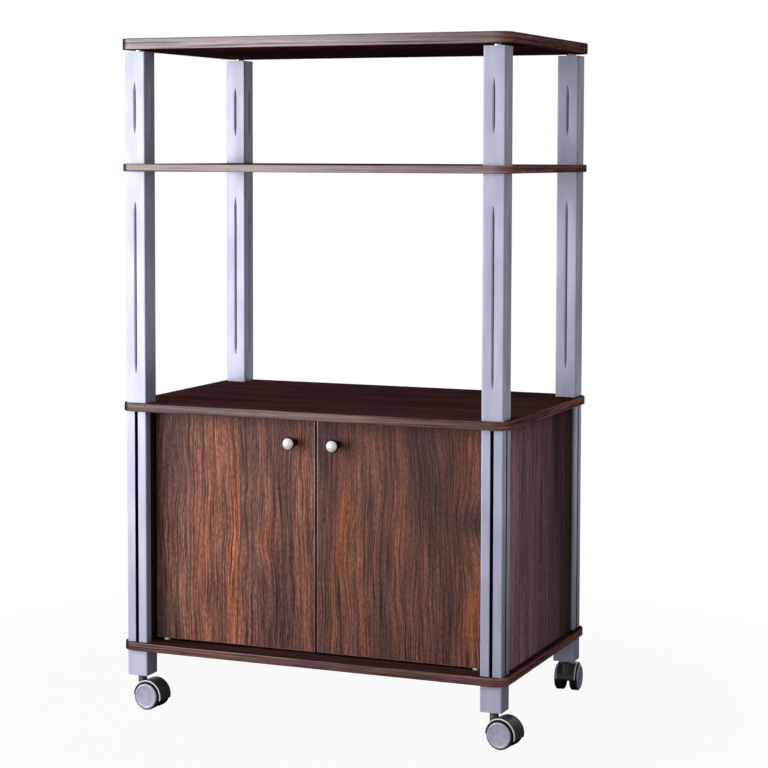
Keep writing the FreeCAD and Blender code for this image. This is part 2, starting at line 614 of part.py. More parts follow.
def caster_wheel():
    """Wheel on the +Y side: rim with round shoulders, web, hub, and a recess for the cap."""
    bore = AXLE_RADIUS + FIT_CLEARANCE
    outer_face = WHEEL_INNER_FACE + WHEEL_RIM_WIDTH
    web_inner = CAP_SEAT - WHEEL_WEB_THICKNESS
    rim_inside = WHEEL_RADIUS - WHEEL_RIM_THICKNESS
    lip_inside = WHEEL_RADIUS - WHEEL_LIP_THICKNESS
    inner_arc = tread_shoulder(WHEEL_INNER_FACE, WHEEL_INNER_SHOULDER, 1)
    outer_arc = tread_shoulder(outer_face, WHEEL_OUTER_SHOULDER, -1)
    inside = [
        (lip_inside, outer_face),
        (lip_inside, CAP_SEAT),
        (bore, CAP_SEAT),
        (bore, WHEEL_INNER_FACE),
        (WHEEL_HUB_RADIUS, WHEEL_INNER_FACE),
        (WHEEL_HUB_RADIUS, web_inner),
        (rim_inside, web_inner),
        (rim_inside, WHEEL_INNER_FACE),
    ]
    path = [outer_arc[0], *[wheel_section_point(*place) for place in inside], inner_arc[0]]
    edges = polyline(path)
    edges.append(Part.Arc(*inner_arc).toShape())
    edges += polyline([inner_arc[2], outer_arc[2]])
    edges.append(Part.Arc(*outer_arc[::-1]).toShape())
    return revolved(edges, wheel_section_point(0, 0), BACK)


def wheel_cap():
    """Round cap on the +Y wheel, with a rolled edge, closing the recess in its face."""
    radius = WHEEL_RADIUS - WHEEL_LIP_THICKNESS - CAP_CLEARANCE
    bend = CAP_EDGE_ROUNDING * math.sqrt(0.5)
    edge_start = wheel_section_point(radius, CAP_FACE - CAP_EDGE_ROUNDING)
    edge_middle = wheel_section_point(radius - CAP_EDGE_ROUNDING + bend, CAP_FACE - CAP_EDGE_ROUNDING + bend)
    edge_end = wheel_section_point(radius - CAP_EDGE_ROUNDING, CAP_FACE)
    edges = polyline([edge_end, wheel_section_point(0, CAP_FACE), wheel_section_point(0, CAP_SEAT),
                      wheel_section_point(radius, CAP_SEAT), edge_start])
    edges.append(Part.Arc(edge_start, edge_middle, edge_end).toShape())
    return revolved(edges, wheel_section_point(0, 0), BACK)


def make_casters():
    """The stems as one group, and a hood, an axle, two wheels and two caps at each corner."""
    def far_side(shape):
        return shape.mirror(ORIGIN, BACK)

    wheel = caster_wheel()
    cap = wheel_cap()
    pieces = {
        "hood": caster_hood(),
        "axle": caster_axle(),
        "wheel_a": far_side(wheel),
        "cap_a": far_side(cap),
        "wheel_b": wheel,
        "cap_b": cap,
    }
    nodes = {"caster_stems": at_corners(caster_stem())}
    for corner, (sx, sy) in CORNERS.items():
        for piece, shape in pieces.items():
            placed = moved(turned(shape, CASTER_TURN[corner]), sx * POST_X, sy * POST_Y, 0)
            nodes[corner + "_caster_" + piece] = placed
    return nodes


def main():
    """Build every piece and write each one to its own file."""
    nodes = {}
    for make in (make_boards, make_posts, make_fastenings, make_panels, make_doors, make_casters):
        nodes.update(make())
    os.makedirs("parts", exist_ok=True)
    for name, shape in nodes.items():
        shape.exportStep("parts/" + name + ".step")
    print(len(nodes), "pieces written")


if __name__ == "__main__":
    main()
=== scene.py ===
import logging
import math
from dataclasses import dataclass
from enum import Enum
from typing import Any, ClassVar, Dict, List, Mapping, Optional, Sequence, Tuple, Union

import bmesh
import bpy
import numpy as np
from mathutils import Matrix, Vector


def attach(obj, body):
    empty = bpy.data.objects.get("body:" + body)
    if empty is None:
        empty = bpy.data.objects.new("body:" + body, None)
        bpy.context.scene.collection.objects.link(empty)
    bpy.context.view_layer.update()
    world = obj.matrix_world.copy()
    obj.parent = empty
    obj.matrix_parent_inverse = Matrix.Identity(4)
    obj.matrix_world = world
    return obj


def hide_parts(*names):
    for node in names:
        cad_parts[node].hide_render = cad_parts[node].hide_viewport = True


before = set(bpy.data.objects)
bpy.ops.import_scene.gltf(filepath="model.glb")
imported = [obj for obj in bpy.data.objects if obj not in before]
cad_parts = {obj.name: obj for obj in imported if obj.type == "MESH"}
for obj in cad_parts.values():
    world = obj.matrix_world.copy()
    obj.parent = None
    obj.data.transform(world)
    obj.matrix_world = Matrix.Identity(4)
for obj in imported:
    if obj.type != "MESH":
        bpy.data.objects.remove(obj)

LOG = logging.getLogger("kitchen_cart")
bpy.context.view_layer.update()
FRAME_BODY = "cart_frame"

Colour = Tuple[float, float, float]
Term = Union["Sock", float]

# Places that several sub-assemblies share, in metres
POST_X = 0.276
POST_Y = 0.164
POST_SIZE = 0.032
POST_CORNER = 0.0018
TUBE_WALL = 0.0012
EDGE_HOLD = 0.0004
EASE_STEPS = 4
FOOT_BOTTOM = 0.050
FLOOR_BOTTOM = 0.088
FLOOR_TOP = 0.100
CABINET_UNDERSIDE = 0.442
CABINET_TOP = 0.454
SHELF_UNDERSIDE = 0.792
SHELF_TOP = 0.803
UPPER_POST_TOP = 0.965
TOP_UNDERSIDE = 0.968
TOP_TOP = 0.984


def shade(red: int, green: int, blue: int) -> Colour:
    """Linear colour of a screen colour.

    Args:
        red: red from 0 to 255.
        green: green from 0 to 255.
        blue: blue from 0 to 255.

    Returns:
        The three linear parts.
    """
    parts = np.array((red, green, blue)) / 255
    linear = np.where(parts <= 0.04045, parts / 12.92, ((parts + 0.055) / 1.055) ** 2.4)
    return tuple(float(part) for part in linear)


class Corner(Enum):
    """The four corners of the cart, with the signs of their X and Y."""

    FRONT_LEFT = ("front_left", -1, -1)
    FRONT_RIGHT = ("front_right", 1, -1)
    BACK_LEFT = ("back_left", -1, 1)
    BACK_RIGHT = ("back_right", 1, 1)

    @property
    def label(self) -> str:
        """The corner's name as the solids use it."""
        return self.value[0]

    @property
    def place(self) -> np.ndarray:
        """The post's axis in plan, as X, Y and a zero."""
        return np.array((self.value[1] * POST_X, self.value[2] * POST_Y, 0.0))


class Sock:
    """An output socket that can stand in sums, each of which adds a Math node."""

    def __init__(self, tree: "FinishTree", socket: bpy.types.NodeSocket) -> None:
        """Keep the tree that makes the nodes and the socket that is wrapped."""
        self.tree = tree
        self.socket = socket

    def __add__(self, other: Term) -> "Sock":
        """This value plus another."""
        return self.tree.math("ADD", self, other)

    def __radd__(self, other: Term) -> "Sock":
        """Another value plus this one."""
        return self.tree.math("ADD", other, self)

    def __sub__(self, other: Term) -> "Sock":
        """This value less another."""
        return self.tree.math("SUBTRACT", self, other)

    def __rsub__(self, other: Term) -> "Sock":
        """Another value less this one."""
        return self.tree.math("SUBTRACT", other, self)

    def __mul__(self, other: Term) -> "Sock":
        """This value times another."""
        return self.tree.math("MULTIPLY", self, other)

    def __rmul__(self, other: Term) -> "Sock":
        """Another value times this one."""
        return self.tree.math("MULTIPLY", other, self)

    def __abs__(self) -> "Sock":
        """The size of this value without its sign."""
        return self.tree.math("ABSOLUTE", self)

    def __neg__(self) -> "Sock":
        """This value with its sign turned."""
        return self.tree.math("MULTIPLY", self, -1.0)


class FinishTree:
    """A shader tree: one method makes its nodes, and the rest are short forms of it."""

    def __init__(self, tree: bpy.types.NodeTree) -> None:
        """Start from an empty tree."""
        self.tree = tree
        self.tree.nodes.clear()

    def node(self, kind: str, settings: Optional[Mapping[str, Any]] = None,
             inputs: Optional[Mapping[Union[int, str], Any]] = None,
             output: Union[int, str] = 0) -> Sock:
        """Make one node.

        Args:
            kind: the node's type.
            settings: its own settings, which are set first.
            inputs: a value or a link for each socket named or numbered.
            output: the output that is handed back.

        Returns:
            The chosen output, wrapped.
        """
        made = self.tree.nodes.new(kind)
        for key, value in (settings or {}).items():
            setattr(made, key, value)
        for key, value in (inputs or {}).items():
            self.feed(made.inputs[key], value)
        return Sock(self, made.outputs[output]) if made.outputs else Sock(self, None)

    def feed(self, socket: bpy.types.NodeSocket, value: Any) -> None:
        """Link a wrapped output to a socket, or set the socket to a plain value.

        Args:
            socket: the input that is fed.
            value: a wrapped output, a number, or a colour or vector.
        """
        if isinstance(value, Sock):
            self.tree.links.new(value.socket, socket)
        elif isinstance(value, tuple) and socket.type == "RGBA":
            socket.default_value = (*value, 1.0)
        else:
            socket.default_value = value

    def math(self, operation: str, *terms: Term) -> Sock:
        """One Math node on values or links."""
        return self.node("ShaderNodeMath", {"operation": operation}, dict(enumerate(terms)))

    def object_place(self) -> Tuple[Sock, Sock, Sock]:
        """X, Y and Z of the surface point in the cart's own frame, in metres."""
        return self.split(self.node("ShaderNodeTexCoord", output="Object"))

    def split(self, vector: Sock) -> Tuple[Sock, Sock, Sock]:
        """The three parts of a vector."""
        first = self.node("ShaderNodeSeparateXYZ", inputs={0: vector})
        outputs = first.socket.node.outputs
        return first, Sock(self, outputs[1]), Sock(self, outputs[2])

    def place(self, x: Term, y: Term, z: Term) -> Sock:
        """A vector of three values or links."""
        return self.node("ShaderNodeCombineXYZ", inputs={0: x, 1: y, 2: z})

    def noise(self, place: Sock, detail: float, rough: float = 0.5) -> Sock:
        """Soft noise from 0 to 1, about one feature to a unit of the place."""
        return self.node("ShaderNodeTexNoise",
                         inputs={"Vector": place, "Scale": 1.0, "Detail": detail, "Roughness": rough})

    def cells(self, place: Sequence[Sock], scale: Sequence[float], detail: float) -> Sock:
        """Noise at a place, with its own number of features to a metre along each axis."""
        return self.noise(self.place(*(part * size for part, size in zip(place, scale))), detail)

    def mark(self) -> Sock:
        """The mark that a surface's points carry for their finish."""
        return self.node("ShaderNodeAttribute", {"attribute_name": Surface.MARK}, output="Fac")

    def between(self, value: Sock, low: float, high: float) -> Sock:
        """Smooth step from 0 at low to 1 at high."""
        return self.node("ShaderNodeMapRange", {"interpolation_type": "SMOOTHSTEP"},
                         {"Value": value, "From Min": low, "From Max": high})

    def hump(self, square: Sock) -> Sock:
        """Bell that is 1 where a squared distance is 0 and fades as it grows."""
        return self.math("EXPONENT", -square)

    def blend(self, share: Term, first: Any, second: Any) -> Sock:
        """Mix of two colours, with the second one's share."""
        return self.node("ShaderNodeMix", {"data_type": "RGBA"}, {0: share, 6: first, 7: second}, 2)

    def scaled(self, colour: Sock, factor: Sock) -> Sock:
        """A colour made lighter or darker by a factor."""
        return self.node("ShaderNodeVectorMath", {"operation": "SCALE"}, {0: colour, "Scale": factor})

    def bump(self, height: Sock, depth: float, strength: float = 1.0) -> Sock:
        """Normal of a fine relief whose full height is a depth in metres."""
        return self.node("ShaderNodeBump", inputs={"Height": height, "Distance": depth, "Strength": strength})

    def surface(self, sockets: Mapping[str, Any]) -> None:
        """End the tree in one Principled shader.

        Args:
            sockets: a value or a link for each of the shader's sockets.
        """
        shader = self.node("ShaderNodeBsdfPrincipled", inputs=sockets)
        self.node("ShaderNodeOutputMaterial", inputs={"Surface": shader})


class Finish:
    """A finish that makes its material once and then hands out the same one."""

    made: ClassVar[Dict[str, bpy.types.Material]] = {}
    name: str

    def dress(self, tree: FinishTree) -> None:
        """Fill the material's shader tree."""
        raise NotImplementedError

    def material(self) -> bpy.types.Material:
        """The finish's material.

        Returns:
            The material, made on the first call.
        """
        if self.name not in Finish.made:
            material = bpy.data.materials.new(self.name)
            material.use_nodes = True
            self.dress(FinishTree(material.node_tree))
            Finish.made[self.name] = material
        return Finish.made[self.name]


class Grain(Enum):
    """How the wood's pattern lies: the axes across the grain, along it and into the piece."""

    DOOR = "XZY"
    SIDE = "YZX"
    BOARD = "YXZ"
    BAND = "VU"


@dataclass(frozen=True)
class Layer:
    """A layer of noise in the wood.

    It has a number of features to a metre across the grain, along it and into the piece, a shift of
    the seed, and the noise's detail and roughness.
    """

    across: float
    along: float
    into: float
    shift: float = 0.0
    detail: float = 1.0
    rough: float = 0.5


class WoodNoise(Enum):
    """The layers that walnut is made of: what bends the growth field, then its zones, lines and pores."""

    SLOW = Layer(4.2, 2.0, 4.0)
    QUICK = Layer(13.0, 7.0, 9.0, 3.1)
    RIPPLE = Layer(30.0, 17.0, 9.0, 5.3)
    ZONE = Layer(22.0, 2.2, 6.0, 7.3)
    STREAK = Layer(70.0, 1.6, 6.0, 13.7, 2.0)
    BROKEN = Layer(130.0, 5.0, 6.0, 17.9, 2.0)
    VEIN = Layer(80.0, 1.8, 6.0, 21.9)
    HAIR = Layer(190.0, 3.6, 6.0, 26.3)
    LINE = Layer(300.0, 3.0, 9.0, 31.3, 2.0, 0.7)
    DASH = Layer(460.0, 14.0, 200.0, 41.1)
    GRIT = Layer(560.0, 150.0, 200.0, 47.3)
    TINT = Layer(100.0, 6.0, 6.0, 53.9)
    FIBRE = Layer(1300.0, 30.0, 400.0, 0.0, 2.0)
    PORE = Layer(1700.0, 60.0, 500.0)


@dataclass(frozen=True)
class Patch:
    """A stripe of another colour in the wood.

    It has a place across the grain, a half width and a strength, and fades along the grain from a
    middle over a reach, all in metres.
    """

    place: float
    half: float
    strength: float
    middle: float = 0.27
    reach: float = 5.0


@dataclass(frozen=True)
class Swirl:
    """A spot that the growth lines bend round: its place across and along the grain, and its sizes."""

    across: float
    along: float
    half_across: float
    half_along: float
    push: float


@dataclass(frozen=True)
class Walnut(Finish):
    """Walnut laminate: wavering growth lines, broad light and dark zones, warm streaks and pores.

    Where a band is marked, it loses its coat and its tone is scaled: by the first of its painted factors
    where the mark is below 0, which can darken it as painted shade, and by the second where it is above, as
    painted light and highlights.
    """

    QUICK_SWAY: ClassVar[float] = 0.55
    RIPPLE_SWAY: ClassVar[float] = 0.50
    LINE_DEPTH: ClassVar[float] = 0.72
    DASH_SWING: ClassVar[float] = 1.6
    GRIT_SWING: ClassVar[float] = 1.1
    BROKEN_SWING: ClassVar[float] = 0.4
    PORE_DEPTH: ClassVar[float] = 0.20
    RELIEF: ClassVar[float] = 0.00010

    name: str
    grain: Grain
    seed: float
    plum: Colour = shade(113, 74, 71)
    brown: Colour = shade(150, 96, 80)
    warm: Colour = shade(184, 105, 68)
    dark: Colour = shade(76, 52, 56)
    vein: Colour = shade(56, 36, 34)
    olive: Colour = shade(128, 98, 74)
    olive_share: float = 0.0
    tone: float = 1.0
    painted_shade_slope: float = 0.0
    sway: float = 0.012
    contrast: float = 1.0
    chop: float = 1.0
    streaks: float = 0.12
    rough: float = 0.46
    gloss: float = 0.2
    coat: float = 0.0
    coat_index: float = 1.5
    painted_shade_and_light: Optional[Tuple[float, float]] = None
    glows: Tuple[Patch, ...] = ()
    shadows: Tuple[Patch, ...] = ()
    swirls: Tuple[Swirl, ...] = ()

    def place(self, tree: FinishTree) -> Tuple[Sock, Sock, Sock]:
        """Places across the grain, along it and into the piece, in metres."""
        if self.grain is Grain.BAND:
            along, across, into = tree.split(tree.node("ShaderNodeUVMap", {"uv_map": Surface.MAP}))
            return across, along, into
        axes = dict(zip("XYZ", tree.object_place()))
        across, along, into = (axes[letter] for letter in self.grain.value)
        return across, along, into

    def layer(self, tree: FinishTree, kind: WoodNoise, across: Sock, along: Sock, into: Sock) -> Sock:
        """One layer of noise at a place in the wood."""
        size = kind.value
        place = tree.place(across * size.across, along * size.along,
                           into * size.into + (self.seed + size.shift))
        return tree.noise(place, size.detail, size.rough)

    def swing(self, noise: Sock, size: float) -> Sock:
        """A factor about 1, which a noise moves up and down by a size times the contrast."""
        return 1.0 + self.contrast * (2.0 * size * noise - size)

    def field(self, tree: FinishTree, across: Sock, along: Sock, into: Sock) -> Sock:
        """The growth field, whose level lines are the growth lines.

        It is the place across the grain, pushed sideways by slow, quick and rippling noise, and by
        a bell at each swirl.

        Args:
            tree: the tree that is filled.
            across: place across the grain.
            along: place along the grain.
            into: place into the piece.

        Returns:
            The field, in metres.
        """
        pushes = ((WoodNoise.SLOW, self.sway), (WoodNoise.QUICK, self.QUICK_SWAY * self.sway),
                  (WoodNoise.RIPPLE, self.RIPPLE_SWAY * self.sway))
        noises = [self.layer(tree, kind, across, along, into) for kind, _ in pushes]
        field = across
        for noise, (_, push) in zip(noises, pushes):
            field = field + push * (noise - 0.5)
        for swirl in self.swirls:
            side = (across - swirl.across) * (1.0 / swirl.half_across)
            rise = (along - swirl.along) * (1.0 / swirl.half_along)
            field = field + swirl.push * tree.hump(side * side + rise * rise)
        return field

    def stripes(self, tree: FinishTree, field: Sock, along: Sock, patches: Sequence[Patch],
                start: Sock) -> Sock:
        """A mask that starts from noise and gains a bell across the grain at each patch.

        Args:
            tree: the tree that is filled.
            field: the growth field.
            along: place along the grain.
            patches: the stripes that are added.
            start: the mask that they are added to.

        Returns:
            The mask, at most 1.
        """
        mask = start
        for patch in patches:
            offset = (field - patch.place) * (1.0 / patch.half)
            rise = (along - patch.middle) * (1.0 / patch.reach)
            mask = mask + patch.strength * tree.hump(offset * offset + rise * rise)
        return tree.math("MINIMUM", mask, 1.0)

    def dress(self, tree: FinishTree) -> None:
        """Colour, gloss and relief of the laminate.

        Zones, streaks, veins, lines and dashes are noises of the growth field, stretched along the
        grain, and the patches are stripes of it.

        Args:
            tree: the tree that is filled.
        """
        across, along, into = self.place(tree)
        field = self.field(tree, across, along, into)
        zone, streak, broken, vein, hair, line = (
            self.layer(tree, kind, field, along, into)
            for kind in (WoodNoise.ZONE, WoodNoise.STREAK, WoodNoise.BROKEN, WoodNoise.VEIN,
                         WoodNoise.HAIR, WoodNoise.LINE))
        chop = along * self.chop
        dash, grit = (self.layer(tree, kind, field, chop, into)
                      for kind in (WoodNoise.DASH, WoodNoise.GRIT))
        fibre, pore = (self.layer(tree, kind, across, along, into)
                       for kind in (WoodNoise.FIBRE, WoodNoise.PORE))
        pore = tree.between(pore, 0.60, 0.72)

        colour = tree.blend(tree.between(zone, 0.30, 0.70), self.plum, self.brown)
        shadow = self.stripes(tree, field, along, self.shadows, 0.35 * tree.between(zone, 0.42, 0.30))
        colour = tree.blend(shadow * (0.6 + 0.6 * broken), colour, self.dark)
        glow = self.stripes(tree, field, along, self.glows, self.streaks * tree.between(streak, 0.56, 0.74))
        colour = tree.blend(glow * (0.7 + 0.5 * broken), colour, self.warm)
        if self.olive_share:
            tint = self.layer(tree, WoodNoise.TINT, field, along, into)
            colour = tree.blend(self.olive_share * tree.between(tint, 0.50, 0.66), colour, self.olive)
        thin = 1.0 - tree.between(abs(vein - 0.5), 0.0, 0.016)
        thinner = 1.0 - tree.between(abs(hair - 0.5), 0.0, 0.065)
        thinnest = 1.0 - tree.between(line, 0.38, 0.48)
        colour = tree.blend(0.5 * thin, colour, self.vein)
        colour = tree.blend(0.8 * self.contrast * thinner * broken, colour, self.vein)
        level = 1.0 - self.contrast * self.LINE_DEPTH * thinnest * (0.35 + broken)
        level = level * self.swing(dash, self.DASH_SWING) * (0.93 + 0.14 * fibre)
        level = level * self.swing(grit, self.GRIT_SWING)
        level = level * self.swing(broken, self.BROKEN_SWING)
        # The painted shade slope scales the tone steadily across the grain: painted shade, darker towards one
        # side.
        level = level * (self.tone - self.PORE_DEPTH * pore) * (1.0 + self.painted_shade_slope * across)
        coat: Term = self.coat
        # Marked band points take painted shade below 0 and painted light above 0.
        if self.painted_shade_and_light is not None:
            mark = tree.mark()
            below, above = (tree.math("MAXIMUM", side, 0.0) for side in (-mark, mark))
            level = level * (1.0 + (self.painted_shade_and_light[0] - 1.0) * below + (self.painted_shade_and_light[1] - 1.0) * above)
            coat = self.coat * (1.0 - abs(mark)) * (1.0 - 0.6 * thinnest)
        colour = tree.scaled(colour, level)
        rough = self.rough + 0.14 * (fibre - 0.5) + 0.12 * (line - 0.5) + 0.08 * pore
        relief = tree.bump(0.4 * fibre + 0.5 * line + 0.3 * dash - 0.6 * pore, self.RELIEF, 0.5)
        tree.surface({"Base Color": colour, "Roughness": rough, "Normal": relief,
                      "Specular IOR Level": self.gloss, "Coat Weight": coat,
                      "Coat Roughness": 0.28, "Coat IOR": self.coat_index})


@dataclass(frozen=True)
class SatinSilver(Finish):
    """Silver posts: fine upright brushing, faint clouding, and dark wherever grooves are marked: near black
    in the cabinet posts' grooves, and painted shade in the slits and beside the doors.
    """

    name: str
    colour: Colour = shade(198, 201, 222)
    deep: Colour = shade(184, 187, 210)
    metallic: float = 0.3
    rough: float = 0.42
    grooved: bool = False
    groove: Colour = shade(9, 9, 11)

    def dress(self, tree: FinishTree) -> None:
        """Brushed silver, blackened where the groove mark is high: painted shade in the slits and beside the
        doors, near black in the cabinet posts' grooves.

        Args:
            tree: the tree that is filled.
        """
        place = tree.object_place()
        brush = tree.cells(place, (1700.0, 1700.0, 13.0), 2.0)
        cloud = tree.cells(place, (38.0, 38.0, 11.0), 2.0)
        colour = tree.blend(tree.between(cloud, 0.32, 0.70), self.colour, self.deep)
        colour = tree.scaled(colour, 0.93 + 0.14 * brush)
        rough = self.rough + 0.14 * (brush - 0.5) + 0.10 * (cloud - 0.5)
        metal: Term = self.metallic
        # The mark paints shade in the slits and beside the doors, and near black in the cabinet grooves.
        if self.grooved:
            inside = tree.mark()
            colour = tree.blend(inside, colour, self.groove)
            rough = rough + 0.25 * inside
            metal = self.metallic * (1.0 - inside)
        relief = tree.bump(brush, 0.00004, 0.5)
        tree.surface({"Base Color": colour, "Metallic": metal, "Roughness": rough, "Normal": relief})


@dataclass(frozen=True)
class MouldedPlastic(Finish):
    """Moulded plastic with a fine spark-eroded texture and slight handling wear."""

    name: str
    colour: Colour = shade(34, 34, 37)
    worn: Colour = shade(52, 52, 56)
    rough: float = 0.45
    grit: float = 2400.0
    rim: Optional[Colour] = None

    def dress(self, tree: FinishTree) -> None:
        """Dark plastic, dusted lighter by cloudy noise, pitted by fine noise, with a painted highlight on any
        rim.

        Args:
            tree: the tree that is filled.
        """
        place = tree.object_place()
        pits = tree.cells(place, (self.grit,) * 3, 2.0)
        cloud = tree.cells(place, (90.0,) * 3, 3.0)
        colour = tree.blend(0.6 * tree.between(cloud, 0.42, 0.74), self.colour, self.worn)
        rough = self.rough + 0.16 * (cloud - 0.5) + 0.10 * (pits - 0.5)
        # A marked rim is lightened as a painted highlight.
        if self.rim is not None:
            edge = tree.mark()
            colour = tree.blend(tree.between(edge, 0.25, 0.75), colour, self.rim)
            rough = rough - 0.12 * edge
        tree.surface({"Base Color": colour, "Roughness": rough,
                      "Normal": tree.bump(pits, 0.00006, 0.5)})


@dataclass(frozen=True)
class MetallicLacquer(Finish):
    """Silver-grey lacquer with fine flakes, used on the wheel caps."""

    name: str
    colour: Colour = shade(204, 203, 222)
    deep: Colour = shade(186, 185, 206)
    metallic: float = 0.3
    rough: float = 0.38

    def dress(self, tree: FinishTree) -> None:
        """Lacquer whose flakes sparkle a little and whose tone drifts over the face.

        Args:
            tree: the tree that is filled.
        """
        place = tree.object_place()
        flake = tree.cells(place, (3200.0,) * 3, 1.0)
        cloud = tree.cells(place, (120.0,) * 3, 2.0)
        colour = tree.blend(tree.between(cloud, 0.34, 0.68), self.colour, self.deep)
        colour = tree.scaled(colour, 0.90 + 0.20 * flake)
        rough = self.rough + 0.12 * (flake - 0.5) + 0.08 * (cloud - 0.5)
        tree.surface({"Base Color": colour, "Metallic": self.metallic, "Roughness": rough,
                      "Normal": tree.bump(flake, 0.00003, 0.4), "Coat Weight": 0.25,
                      "Coat Roughness": 0.12})


@dataclass(frozen=True)
class TurnedMetal(Finish):
    """Plated metal with faint turning lines and a thin cloudy patina."""

    name: str
    colour: Colour = shade(214, 211, 208)
    dull: Colour = shade(182, 180, 180)
    rough: float = 0.22
    metallic: float = 1.0
    rim: Optional[Colour] = None
    coat: float = 0.0

    def dress(self, tree: FinishTree) -> None:
        """Bright metal, dulled by cloudy noise and scored by fine noise, with any rim darkened as painted
        shade.

        Args:
            tree: the tree that is filled.
        """
        place = tree.object_place()
        cloud = tree.cells(place, (160.0,) * 3, 3.0)
        score = tree.cells(place, (500.0, 5200.0, 500.0), 1.0)
        colour = tree.blend(tree.between(cloud, 0.42, 0.78), self.colour, self.dull)
        rough = self.rough + 0.14 * (cloud - 0.5) + 0.08 * (score - 0.5)
        metal: Term = self.metallic
        coat: Term = self.coat
        # A marked rim is darkened as painted shade.
        if self.rim is not None:
            mark = tree.mark()
            colour = tree.blend(mark, colour, self.rim)
            metal = self.metallic + (1.0 - self.metallic) * mark
            coat = self.coat * (1.0 - mark)
        tree.surface({"Base Color": colour, "Metallic": metal, "Roughness": rough,
                      "Normal": tree.bump(score, 0.00002, 0.4), "Coat Weight": coat,
                      "Coat Roughness": 0.24, "Coat IOR": 2.0})


class Surface:
    """Grids of points gathered into the mesh of one piece."""

    MAP: ClassVar[str] = "band_map"
    MARK: ClassVar[str] = "finish_mark"
    MERGE: ClassVar[float] = 2e-6

    def __init__(self) -> None:
        """Start with no points."""
        self.points: List[np.ndarray] = []
        self.quads: List[np.ndarray] = []
        self.caps: List[np.ndarray] = []
        self.maps: List[np.ndarray] = []
        self.marks: List[np.ndarray] = []
        self.total = 0

    @classmethod
    def of(cls, points: np.ndarray, mapped: Optional[np.ndarray] = None,
           marked: Optional[np.ndarray] = None, capped: bool = False) -> "Surface":
        """A surface of one grid, with what add takes."""
        made = cls()
        made.add(points, mapped, marked, capped)
        return made

    def add(self, points: np.ndarray, mapped: Optional[np.ndarray] = None,
            marked: Optional[np.ndarray] = None, capped: bool = False) -> None:
        """Add a grid, with a four-sided face between each four neighbours.

        Args:
            points: rows by columns by three.
            mapped: rows by columns by two, the band's own map in metres.
            marked: rows by columns, how far each point is inside a groove or on a rim.
            capped: whether the first and last rows are closed by flat faces.
        """
        rows, columns = points.shape[:2]
        index = self.total + np.arange(rows * columns).reshape(rows, columns)
        quads = np.stack((index[:-1, :-1], index[1:, :-1], index[1:, 1:], index[:-1, 1:]), axis=-1)
        self.quads.append(quads.reshape(-1, 4))
        if capped:
            self.caps += [index[0, :-1], index[-1, :-1]]
        self.points.append(points.reshape(-1, 3))
        empty = np.zeros((rows * columns, 2))
        self.maps.append(empty if mapped is None else mapped.reshape(-1, 2))
        self.marks.append(empty[:, 0] if marked is None else marked.reshape(-1))
        self.total += rows * columns

    def mesh(self, name: str, sharp: float) -> bpy.types.Mesh:
        """Merge the seams, turn the faces outwards and keep sharp edges sharp.

        Args:
            name: the mesh's name.
            sharp: edges that bend by more degrees than this stay sharp.

        Returns:
            The finished mesh.
        """
        quads = np.concatenate(self.quads)
        corners = np.concatenate([quads.ravel(), *self.caps])
        mesh = bpy.data.meshes.new(name)
        mesh.from_pydata(np.concatenate(self.points), [],
                         quads.tolist() + [cap.tolist() for cap in self.caps])
        layer = mesh.uv_layers.new(name=self.MAP)
        layer.data.foreach_set("uv", np.concatenate(self.maps)[corners].astype(np.float32).ravel())
        mark = mesh.attributes.new(self.MARK, "FLOAT", "POINT")
        mark.data.foreach_set("value", np.concatenate(self.marks).astype(np.float32))
        work = bmesh.new()
        work.from_mesh(mesh)
        bmesh.ops.remove_doubles(work, verts=work.verts, dist=self.MERGE)
        bmesh.ops.dissolve_degenerate(work, edges=work.edges, dist=self.MERGE)
        bmesh.ops.recalc_face_normals(work, faces=work.faces)
        work.to_mesh(mesh)
        work.free()
        mesh.shade_smooth()
        mesh.set_sharp_from_angle(angle=math.radians(sharp))
        return mesh

    def piece(self, name: str, body: str, slot: str, finish: Finish, stands_for: Sequence[str],
              sharp: float = 38.0) -> None:
        """Make the piece's object, dress it and hang it on its body.

        Args:
            name: the piece's name.
            body: the moving body that it rides on.
            slot: the record's slot that its finish belongs to; not used.
            finish: the finish it is given.
            stands_for: the solids that it replaces.
            sharp: edges that bend by more degrees than this stay sharp.
        """
        made = bpy.data.objects.new(name, self.mesh(name, sharp))
        bpy.context.scene.collection.objects.link(made)
        made.data.materials.append(finish.material())
        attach(made, body)
        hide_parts(*stands_for)
        LOG.info("%s: %d faces on %s", name, len(made.data.polygons), body)


def closed(loop: np.ndarray) -> np.ndarray:
    """A loop of points with its first point repeated at the end."""
    return np.concatenate((loop, loop[:1]))


def run_length(path: np.ndarray) -> np.ndarray:
    """Distance walked along a path to each of its points."""
    return np.concatenate(([0.0], np.cumsum(np.linalg.norm(np.diff(path, axis=0), axis=1))))


def raised(flat: np.ndarray, level: np.ndarray) -> np.ndarray:
    """A grid of flat points, each given its level."""
    return np.concatenate((flat, np.broadcast_to(level, flat.shape[:2])[..., None]), axis=2)


def four_sides(outward: np.ndarray, sideways: np.ndarray) -> np.ndarray:
    """One side of a square post, turned about the axis to all four sides.

    Args:
        outward: distance of the side's points from the axis, square to the side.
        sideways: their distance along the side.

    Returns:
        Four by the points by two.
    """
    quarter = np.arange(4).reshape(4, *(1,) * outward.ndim) * math.pi / 2
    cos, sin = np.cos(quarter), np.sin(quarter)
    return np.stack((outward * cos - sideways * sin, outward * sin + sideways * cos), axis=-1)


